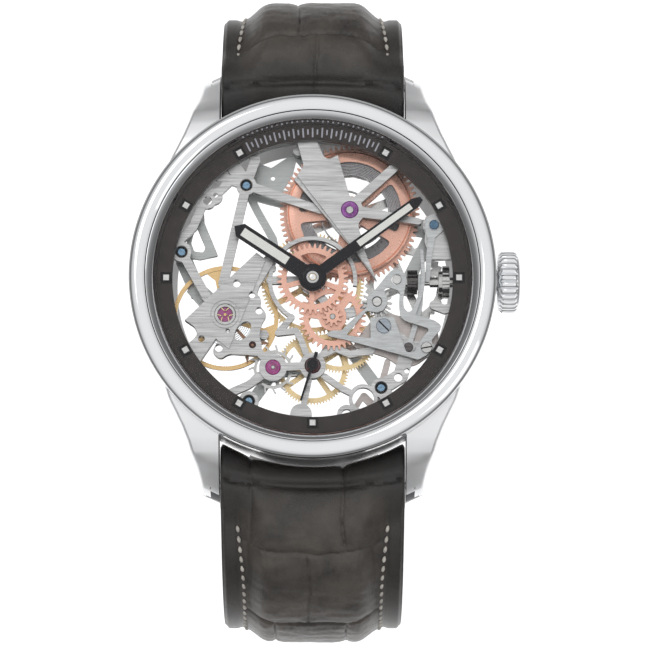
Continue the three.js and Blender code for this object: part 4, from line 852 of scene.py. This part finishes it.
wheel("wheel_hour", "hour_wheel", "hours", "rose", "rose_gold",
      [prism(gear_outline(40, 3.93, 4.14, 3.6, turn=to_post + math.pi / 40), 7.58, 7.88),
       disc(1.1, 7.58, 8.95)],
      windows(5, 1.55, 3.0, 0.3, CENTRE, 0.9, 7, 8.1) + [disc(0.74, 7, 10)])
wheel("wheel_minute", "minute_wheel", "minute_works", "rose", "rose_gold",
      [prism(gear_outline(36, 3.65, 3.88, 3.34, MINUTE_POST, to_post + math.pi + math.pi / 36), 7.12, 7.42),
       prism(gear_outline(10, 0.98, 1.18, 0.74, MINUTE_POST, to_post + math.pi), 7.4, 7.9)],
      windows(3, 1.6, 2.75, 0.45, MINUTE_POST, 0.9, 7, 7.6, 0.4) + [disc(0.33, 7, 9, MINUTE_POST)])
wheel("wheel_cannon", "cannon_pinion", "minutes", "steel", "satin_steel",
      [prism(gear_outline(12, 1.2, 1.38, 0.94, turn=to_post), 7.05, 7.5), disc(0.7, 7.45, 9.1)],
      [disc(0.4, 7, 10)])
wheel("wheel_setting", "setting_wheel", "setting", "steel", "satin_steel",
      [prism(gear_outline(16, 1.6, 1.78, 1.2, SETTING_POST, bearing(SETTING_POST, MINUTE_POST)), 7.12,
             7.42)],
      [disc(0.45, 7, 8, SETTING_POST)])

# ------------------------------------------------------------------ barrel
wheel("barrel_toothed", "barrel", "barrel_drum", "rose", "rose_gold",
      [prism(gear_outline(78, 7.95, 8.12, 7.62, BARREL, to_centre + math.pi / 78), 4.35, 4.8),
       disc(7.35, 4.35, 5.5, BARREL, 120)],
      [disc(7.05, 4.62, 6, BARREL, 120), disc(0.64, 4, 6, BARREL)] + windows(5, 1.9, 5.3, 0.6, BARREL,
          42 * DEG, 4, 5))
wheel("barrel_lid", "barrel_cover", "barrel_drum", "rose", "rose_gold",
      [lathe_solid([(0.5, 5.52), (7.3, 5.52), (7.3, 5.7), (7.02, 5.85), (0.5, 5.85)], 144, BARREL)],
      windows(5, 1.9, 5.95, 0.62, BARREL, 42 * DEG, 5, 6, 1.0), 0.03)
# Painted shade: the lid's chamfered edge takes a darker copy of the rose gold.
lathe("barrel_edge_shade", [(6.98, 5.8), (7.12, 5.79), (7.12, 5.845), (6.98, 5.865)], "rose_dark", "barrel_drum",
      slot="rose_gold", sides=144, centre=BARREL)


def spiral_solid(centre, start_r, end_r, turns, thick, low, high, per_turn, phase=0.0):
    outer, inner = [], []
    count = int(turns * per_turn)
    for i in range(count + 1):
        t = i / count
        a = phase + t * turns * 2 * math.pi
        r = start_r + (end_r - start_r) * t
        outer.append(polar(centre, r + thick / 2, a))
        inner.append(polar(centre, r - thick / 2, a))
    n = count + 1
    verts = [(x, y, z) for z in (low, high) for ring in (outer, inner) for x, y in ring]
    faces = []
    for i in range(count):
        faces += [(i, n + i, n + i + 1, i + 1), (2 * n + i, 2 * n + i + 1, 3 * n + i + 1, 3 * n + i),
                  (i, i + 1, 2 * n + i + 1, 2 * n + i), (n + i, 3 * n + i, 3 * n + i + 1, n + i + 1)]
    faces += [(0, 2 * n, 3 * n, n), (n - 1, 2 * n - 1, 4 * n - 1, 3 * n - 1)]
    return verts, faces


coils = [spiral_solid(BARREL, 4.5, 6.95, 14, 0.115, 4.7, 5.42, 72),
         spiral_solid(BARREL, 1.3, 4.5, 1.25, 0.12, 4.7, 5.42, 72, phase=-0.25 * 2 * math.pi)]
put("spring_coils", coils, "spring", "barrel_drum", ["mainspring"], "satin_steel", 1e-6, angle=50)

# ------------------------------------------------------------------ balance, hairspring, pallets
fork_angle = bearing(PALLET, BALANCE)
balance_parts = [ring_parts(6.1, 5.62, 4.35, 4.85, BALANCE, 128), disc(0.8, 4.4, 4.9, BALANCE),
                 disc(0.17, 3, 7.5, BALANCE), disc(1.15, 4.8, 5.2, BALANCE),
                 disc(0.1, 5.1, 5.5, polar(BALANCE, 0.95, fork_angle + math.pi), 12)]
for i in range(3):
    a = fork_angle + (0.5 + i * 2 / 3) * math.pi
    foot = [polar(BALANCE, 5.75, a - 0.2), polar(BALANCE, 5.75, a + 0.2), polar(BALANCE, 4.6, a + 0.06),
            polar(BALANCE, 4.6, a - 0.06)]
    balance_parts += [strut(BALANCE, polar(BALANCE, 5.7, a), 0.5, 4.5, 4.7), prism(foot, 4.5, 4.7)]
wheel("balance_ring", "balance_wheel", "balance", "orange", "gilt_brass", balance_parts, [], 0.03)
hair = [spiral_solid(BALANCE, 0.65, 3.1, 11, 0.05, 3.98, 4.15, 60),
        ring_parts(0.7, 0.19, 3.95, 4.3, BALANCE, 32)]
put("hair_coils", hair, "blue", "balance", ["hairspring"], "blued_steel", 1e-6)

# ------------------------------------------------------------------ hands
def hand_outline(points, angle, centre=CENTRE):
    a = -angle * DEG
    return [(centre[0] + x * math.cos(a) - y * math.sin(a),
             centre[1] + x * math.sin(a) + y * math.cos(a)) for x, y in points]


def hand(name, node, body, outline, hub, bore, low, high, angle, centre=CENTRE):
    carve(name, [prism(hand_outline(outline, angle, centre), low, high), disc(hub, low, high, centre, 64)],
          [disc(bore, low - 1, high + 1, centre, 40)], "hand", body, [node], "black_lacquer", bevel=0.05)


hand("hand_hour", "hour_hand", "hours", [(-0.9, 0.9), (0.9, 0.9), (0.9, 9.95), (0, 10.8), (-0.9, 9.95)],
     1.6, 1.12, 8.65, 8.9, 303.5)
hand("hand_minute", "minute_hand", "minutes", [(-0.65, 0.5), (0.65, 0.5), (0.62, 14.6), (0.25, 15.5),
                                               (-0.25, 15.5), (-0.62, 14.6)],
     1.3, 0.72, 9, 9.15, 53.8)
hand("hand_seconds", "seconds_hand", "seconds", [(-0.2, -1.5), (0.2, -1.5), (0.11, 4.4), (-0.11, 4.4)],
     0.65, 0.22, 8.15, 8.32, 198, FOURTH)
for name, body, half, start, end, z, angle in (("lume_hour", "hours", 0.5, 3.45, 9.65, 8.9, 303.5),
                                               ("lume_minute", "minutes", 0.375, 6.5, 14.0, 9.15, 53.8)):
    outline = hand_outline([(-half, start), (half, start), (half, end), (-half, end)], angle)
    put(name, [prism(outline, z - 0.05, z + 0.03)], "lume", body, slot="black_lacquer", bevel=0.015)
lathe("hub_cap", [(0.72, 9.05), (1.2, 9.05), (1.2, 9.2), (1.0, 9.28), (0.72, 9.28)], "hand", "minutes",
      slot="black_lacquer", sides=64)
lathe("hub_pin", [(0, 9.1), (0.46, 9.1)] + arc((0.0, 9.18), 0.46, 0.17, 0, 90, 6), "polished", "minutes",
      slot="polished_steel", sides=48)
lathe("seconds_cap", [(0, 8.3), (0.4, 8.3), (0.36, 8.42), (0, 8.46)], "hand", "seconds",
      slot="black_lacquer", sides=32, centre=FOURTH)

# ------------------------------------------------------------------ crown
def crown_mesh():
    flutes, across = 26, 12
    stations = [(21.25, 0.0, 0), (21.25, 3.0, 0), (21.35, 3.2, 0), (21.62, 3.38, 0.3), (21.8, 3.56, 1),
                (22.6, 3.57, 1), (23.2, 3.56, 1), (23.42, 3.45, 0.5), (23.52, 3.3, 0), (23.6, 3.28, 0),
                (23.78, 3.1, 0), (23.9, 2.6, 0), (23.95, 0.0, 0)]
    verts = []
    n = flutes * across
    for x, r, amount in stations:
        for i in range(n):
            wave = abs(math.sin(math.pi * i / across)) ** 0.55
            radius = r - amount * 0.32 * (1 - wave)
            a = 2 * math.pi * i / n
            verts.append((x, radius * math.cos(a), STEM_Z + radius * math.sin(a)))
    return verts, skin(len(stations), n, caps=False)


carve("crown_knob", [crown_mesh()], [along_x(disc(1.45, 20, 22.2), STEM_Z),
                                     along_x(disc(0.605, 21, 23.2), STEM_Z)],
      "polished", "crown_body", ["crown"], "polished_steel", angle=40)

# ------------------------------------------------------------------ strap
STRAP_WIDE, STRAP_NARROW = 21.2, 18.0
STRAP_HALF_THICK = 1.25
PAD_THICK, PAD_THIN = 3.3, 1.75
ROLL_R, WAIST_R = 3.0, 2.2
CASE_R = 21.05
LEAN_12 = 7.0
LENGTH_12, LENGTH_6 = 80.0, 104.0
STITCH_R, STITCH_PITCH = 0.22, 1.15


def centreline(side, bend, lean, curl, length):
    arc_len = bend * (90 - lean) * DEG

    def at(s):
        turned = min(max(s, 0), arc_len) / bend
        rest = max(s - arc_len, 0)
        y, z, heading = bend * math.sin(turned), -bend * (1 - math.cos(turned)), turned
        if rest > 0:
            end = turned + curl * DEG * rest / length
            middle = (turned + end) / 2
            y += rest * math.cos(middle)
            z -= rest * math.sin(middle)
            heading = end
        if s < 0:
            y += s
        return ((side * (BAR_Y + y), BAR_Z + z), (side * math.sin(heading), math.cos(heading)))
    return at


def smooth(t):
    t = min(max(t, 0.0), 1.0)
    return t * t * (3 - 2 * t)


def strap_half_width(s, length):
    return (STRAP_WIDE + (STRAP_NARROW - STRAP_WIDE) * min(max(s / length, 0), 1)) / 2


def groove(distance, width):
    return math.exp(-(distance / width) ** 2)


def crease(distance):
    """A narrow line pressed into the leather, in the middle of a soft valley."""
    return 0.22 * groove(distance, 0.17) + 0.2 * groove(distance, 0.85)


def scale_relief(x, s, rows, splits, half):
    """How far the leather sinks at the creases between its scales."""
    bow = 1.6 * (1 - (x / half) ** 2)
    wobble = 0.3 * noise.noise(Vector((x * 0.35, s * 0.2, 3.1)))
    near = [s - (r + bow + wobble) for r in rows]
    deep = max(crease(d) for d in near)
    for at in splits[min(sum(d > 0 for d in near), len(splits) - 1)]:
        shift = 0.4 * noise.noise(Vector((s * 0.3, at, 1.7)))
        deep = max(deep, 0.9 * crease(x - at - shift))
    pleats = 0.09 * max(groove(d - 1.0, 1.3) for d in near) * noise.noise(Vector((x * 2.3, s * 0.5, 2.2)))
    wrinkle = 0.07 * noise.noise(Vector((x * 0.4, s * 1.4, 9.2))) + 0.035 * noise.noise(Vector((x * 1.7,
        s * 2.6, 4.4)))
    return deep + pleats + wrinkle


def waisted(x):
    return WAIST_R + (ROLL_R - WAIST_R) * smooth((abs(x) - 3) / 4)


def roll_radius(x, creases):
    radius = waisted(x)
    edge = max(0.0, abs(x) - STRAP_WIDE / 2 + 0.5) / 0.5
    return radius - 0.35 * (1 - math.sqrt(max(0.0,
                                              1 - edge ** 2))) - max([0.7 * crease(x - c) for c in creases]
                                                  + [0])


def end_groove(x, reach):
    """The pressed line that follows the case across the leather, by distance outward from the bar."""
    return 0.5 * groove(reach - (0.35 - 0.008 * x * x), 0.42)


def rolled_end(side, creases):
    """The leather rolled round a spring bar, waisted where it passes the case wall."""
    steps, sides = 110, 56
    verts = []
    for i in range(steps + 1):
        x = STRAP_WIDE / 2 * (-1 + 2 * i / steps)
        radius = roll_radius(x, creases)
        to_case = max(BAR_Y - math.sqrt(CASE_R ** 2 - x * x) - 0.12, 0.5)
        inward = to_case * radius / waisted(x)
        for k in range(sides):
            c, h = math.cos(2 * math.pi * k / sides), math.sin(2 * math.pi * k / sides)
            out = radius * c if c > 0 else inward * c
            dent = end_groove(x, out) if h > 0 else 0.0
            verts.append((x, side * (BAR_Y + out), BAR_Z + (radius - dent) * h))
    return verts, skin(steps + 1, sides)


def strap_mesh(at, length, pad_end, rows, splits, tip, count):
    outer_n, inner_n = 150, 24
    verts = []
    for step in range(count + 1):
        s = length * (step / count)
        half = strap_half_width(s, length)
        shrink = 1.0
        if tip and length - s < 9:
            shrink = max(math.sqrt(max(1 - ((9 - (length - s)) / 9.4) ** 2, 0)), 0.3)
        pad = PAD_THICK + (PAD_THIN - PAD_THICK) * min(max((s - 10) / (pad_end - 10), 0), 1)
        start = smooth(s / 4.5)
        (cy, cz), (oy, oz) = at(s)
        row = []
        for i in range(outer_n + 1):
            x = half * (-1 + 2 * i / outer_n)
            inset = half - abs(x)
            lift = math.sin(smooth((inset - 2.1) / 4.2) * math.pi / 2)
            n = STRAP_HALF_THICK + (pad - STRAP_HALF_THICK) * lift
            n -= 0.45 * (1 - smooth(inset / 0.5))
            n -= 0.16 * groove(inset - 1.95, 0.32)
            n -= scale_relief(x, s, rows, splits, half) * smooth((inset - 1.9) / 1.2) * (0.55 + 0.45 * lift)
            n = roll_radius(x, splits[0]) * (1 - start) + n * start - end_groove(x, s)
            row.append((x * shrink, n))
        for i in range(1, inner_n):
            x = half * (1 - 2 * i / inner_n)
            inset = half - abs(x)
            row.append((x * shrink, -STRAP_HALF_THICK + 0.3 * (1 - smooth(inset / 0.5))))
        verts += [(x, cy + oy * n, cz + oz * n) for x, n in row]
    return verts, skin(count + 1, outer_n + inner_n)


def x_tube(radius, y, z, half, sides=48):
    return along_x(disc(radius, -half, half, sides=sides), z, y)


def capsule(a, b, out, radius):
    """A stitch: a short thread from a to b, sunk at both ends."""
    verts = []
    a, b, out = Vector(a), Vector(b), Vector(out).normalized()
    along = (b - a).normalized()
    side = along.cross(out).normalized()
    rings, sides = 8, 8
    for k in range(rings + 1):
        t = k / rings
        r = radius * max(math.sin(math.pi * t), 0.05) ** 0.5
        centre = a.lerp(b, t) + out * (0.5 * radius * math.sin(math.pi * t))
        for i in range(sides):
            v = 2 * math.pi * i / sides
            verts.append(tuple(centre + side * (r * math.cos(v)) + out * (r * math.sin(v))))
    return verts, skin(rings + 1, sides)


def stitches(at, length, start, end):
    """Two rows of stitches, one near each edge."""
    parts = []
    pitch = STITCH_PITCH
    count = int((end - start) / pitch)
    for i in range(count):
        s = start + i * pitch
        for sign in (-1, 1):
            pts = []
            for ds, dx in ((0.0, 0.0), (pitch * 0.66, 0.16)):
                (cy, cz), (oy, oz) = at(s + ds)
                x = sign * (strap_half_width(s + ds, length) - 1.6 - 0.8 * smooth(s / 12) - dx)
                pts.append((x, cy + oy * 1.16, cz + oz * 1.16))
            (cy, cz), (oy, oz) = at(s + pitch * 0.3)
            parts.append(capsule(pts[0], pts[1], (0, oy, oz), STITCH_R))
    return parts


line_12 = centreline(1, 8.5, LEAN_12, 0.0, LENGTH_12)
line_6 = centreline(-1, 13.8, -12.0, 30.0, LENGTH_6)
rows_12 = [3.3, 12.5, 19.5, 28.0, 36.5, 44.5, 52.0, 59.5, 66.5]
splits_12 = [[0.3], [-1.7], [2.6, -6.4], [-2.2, 5.8], [1.2, -6.2], [-3.0, 4.2], [0.6, -5.6], [3.0, -3.0],
             [0.0], [2.0, -2.5]]
rows_6 = [5.4, 14.4, 23.0, 31.5, 40.0, 48.0, 56.0, 63.5, 70.5, 77.0, 83.5, 90.0]
splits_6 = [[-7.1, 3.5], [-0.4, -7.4, 7.2], [4.0, -4.4], [0.6, -6.6, 6.6], [3.4, -3.6], [-0.6, 6.0],
            [3.0, -3.4], [0.0, -5.8, 5.8], [2.6, -2.8], [-0.4], [2.2, -2.6], [0.2], [1.6, -1.8]]
buckle_at = line_12(LENGTH_12)[0]
lean = LEAN_12 * DEG


def hang(part):
    """Turns a flat drawing, X across and Y along the strap, onto the buckle end."""
    verts, faces = part
    turn = Matrix.Rotation(lean - math.pi / 2, 4, "X")
    out = []
    for v in verts:
        w = turn @ Vector(v)
        out.append((w.x, w.y + buckle_at[0], w.z + buckle_at[1]))
    return out, faces


BAR_HOLE = 0.78
strap_top = carve("strap_top", [strap_mesh(line_12, LENGTH_12, 50.0, rows_12, splits_12, False, 440),
                                rolled_end(1, splits_12[0]), x_tube(1.5, *buckle_at, 9.0)],
                  [x_tube(BAR_HOLE, BAR_Y, BAR_Z, 12), x_tube(BAR_HOLE, *buckle_at, 12),
                   hang(prism([(-1.25, -1.8), (1.25, -1.8), (1.25, 3), (-1.25, 3)], -3, 3))],
                  "leather", "strap_short", ["strap_12"], "leather", angle=60)
HOLES_6, FIRST_HOLE, HOLE_PITCH = 7, 22, 6.5
hole_tools = []
for i in range(HOLES_6):
    (cy, cz), (oy, oz) = line_6(LENGTH_6 - FIRST_HOLE - i * HOLE_PITCH)
    tilt = math.atan2(-oy, oz)
    turn = Matrix.Rotation(tilt, 4, "X")
    verts, faces = disc(0.95, -4, 4, sides=28)
    hole_tools.append(([tuple(turn @ Vector(v) + Vector((0, cy, cz))) for v in verts], faces))
strap_bottom = carve("strap_bottom", [strap_mesh(line_6, LENGTH_6, 60.0, rows_6, splits_6, True, 560),
                                      rolled_end(-1, splits_6[0])],
                     [x_tube(BAR_HOLE, -BAR_Y, BAR_Z, 12)] + hole_tools,
                     "leather", "strap_long", ["strap_6"], "leather", angle=60)
put("stitches_top", stitches(line_12, LENGTH_12, 3.0, 72), "thread", "strap_short", (), "leather", 1e-6,
    angle=80)
put("stitches_bottom", stitches(line_6, LENGTH_6, 4.4, 94), "thread", "strap_long", (), "leather", 1e-6,
    angle=80)

# ------------------------------------------------------------------ keepers: rounded leather loops
def loop_mesh(outer, inner, low, high, start, end):
    def ring(half, lo, hi, r, y):
        pts = []
        for cx, cz, a0 in ((half - r, hi - r, 0), (-half + r, hi - r, 90), (-half + r, lo + r, 180),
                           (half - r, lo + r, 270)):
            for k in range(7):
                a = (a0 + 15 * k) * DEG
                pts.append((cx + r * math.cos(a), y, cz + r * math.sin(a)))
        return pts
    t = outer - inner
    soft = 0.25
    rings = [ring(outer - soft, low + soft, high - soft, 1.0, start),
             ring(outer, low, high, 1.2, start + soft), ring(outer, low, high, 1.2, end - soft),
             ring(outer - soft, low + soft, high - soft, 1.0, end),
             ring(inner, low + t, high - t, 0.5, end), ring(inner, low + t, high - t, 0.5, start)]
    return [v for r in rings for v in r], skin(len(rings), len(rings[0]), caps=False, closed=True)


put("keeper_fixed", [hang(loop_mesh(10.45, 9.35, -3, 5.5, -11, -5))], "leather", "strap_short",
    ["fixed_keeper"], "leather", angle=50)
put("keeper_free", [hang(loop_mesh(10.75, 9.75, -3, 5.5, -20, -14))], "leather", "keeper", ["free_keeper"],
    "leather", angle=50)

# ------------------------------------------------------------------ CAD nodes that stay, with edges and finishes
KEEP = {
    "barrel_bridge": ("bridge", 0.05), "train_bridge": ("bridge", 0.05), "balance_cock": ("bridge", 0.05),
    "pallet_bridge": ("bridge", 0.04), "setting_lever": ("cover", 0.04), "yoke": ("cover", 0.04),
    "winding_stem": ("steel", 0.03), "winding_pinion": ("steel", 0.04),
    "sliding_pinion": ("dark_steel", 0.03), "crown_wheel": ("steel", 0.03),
    "ratchet_wheel": ("steel", 0.03), "barrel_arbor": ("steel", 0.03), "pallet_fork": ("brown", 0.03),
    "spring_bar_12": ("steel", 0.05), "spring_bar_6": ("steel", 0.05), "buckle_bar": ("steel", 0.05),
    "buckle_frame": ("steel", 0.35), "buckle_tang": ("steel", 0.2),
}
for name, (material, width) in KEEP.items():
    obj = nodes[name]
    obj.data.materials.clear()
    obj.data.materials.append(M[material])
    add_bevel(obj, width, 3 if width > 0.1 else 1)

# ------------------------------------------------------------------ stage, light and camera
lowest = cad_box[0][2]
floor_mesh = bpy.data.meshes.new("floor")
FLOOR_HALF = 6.0
floor_mesh.from_pydata([(x * FLOOR_HALF, y * FLOOR_HALF, lowest) for x,
                        y in ((-1, -1), (1, -1), (1, 1), (-1, 1))],
                       [], [(0, 1, 2, 3)])
floor = bpy.data.objects.new("floor", floor_mesh)
bpy.context.scene.collection.objects.link(floor)
# Painted light: the floor is paler and glows in a pool under the watch, fading to grey further out, so no shadow
# shows beneath it.
floor_mat, floor_tree, floor_shader = node_tree("floor_painted_light_pool")
place_on_floor = floor_tree.nodes.new("ShaderNodeTexCoord")
from_middle = floor_tree.nodes.new("ShaderNodeVectorMath")
from_middle.operation = "LENGTH"
link(floor_tree, place_on_floor.outputs["Object"], from_middle.inputs[0])
POOL_START, POOL_END = 0.085, 0.3
lit = remap(floor_tree, from_middle.outputs["Value"], POOL_START, POOL_END, 1.0, 0.0, True)
link(floor_tree, ramp(floor_tree, lit, (0.50, 0.50, 0.50), (0.92, 0.92, 0.92), 0.0, 1.0),
     floor_shader.inputs["Base Color"])
link(floor_tree, lit, floor_shader.inputs["Emission Strength"])
floor_shader.inputs["Emission Color"].default_value = (0.6, 0.6, 0.6, 1)
floor_shader.inputs["Roughness"].default_value = 0.9
floor_mesh.materials.append(floor_mat)

world = bpy.data.worlds.new("studio")
bpy.context.scene.world = world
world.use_nodes = True
tree = world.node_tree
where = tree.nodes.new("ShaderNodeTexCoord")
sky = tree.nodes.new("ShaderNodeValToRGB")
link(tree, split_xyz(tree, where.outputs["Generated"])["Z"], sky.inputs["Fac"])
stops = ((0.0, 0.9), (0.05, 0.14), (0.28, 0.24), (0.50, 0.74), (0.80, 0.97), (1.0, 1.0))
while len(sky.color_ramp.elements) < len(stops):
    sky.color_ramp.elements.new(0.5)
for element, (position, value) in zip(sky.color_ramp.elements, stops):
    element.position = position
    element.color = (value, value, value, 1)
link(tree, sky.outputs["Color"], tree.nodes["Background"].inputs["Color"])
tree.nodes["Background"].inputs["Strength"].default_value = 0.9


def softbox(name, place_at, target, size, power):
    data = bpy.data.lights.new(name, "AREA")
    data.shape = "RECTANGLE"
    data.size, data.size_y = size
    data.energy = power
    obj = bpy.data.objects.new(name, data)
    obj.location = place_at
    obj.rotation_euler = (Vector(target) - Vector(place_at)).to_track_quat("-Z", "Y").to_euler()
    bpy.context.scene.collection.objects.link(obj)


softbox("key", (-0.35, 0.35, 0.75), (0, 0, 0), (0.5, 0.35), 0.55)
softbox("fill", (0.55, -0.25, 0.6), (0, 0, 0), (0.3, 0.5), 0.2)

camera_data = bpy.data.cameras.new("camera")
camera_data.lens = 290
camera_data.sensor_width = 36
camera_data.clip_start = 0.01
camera_data.clip_end = 20
camera = bpy.data.objects.new("camera", camera_data)
bpy.context.scene.collection.objects.link(camera)
target = Vector((1.42, -5.47, 8.44)) * MM
elevation, distance = 81 * DEG, 0.6
offset = Vector((0, -math.cos(elevation), math.sin(elevation))) * distance
camera.location = target + offset
camera.rotation_euler = (-offset).to_track_quat("-Z", "Y").to_euler()
bpy.context.scene.camera = camera
bpy.context.scene.view_settings.view_transform = "Standard"
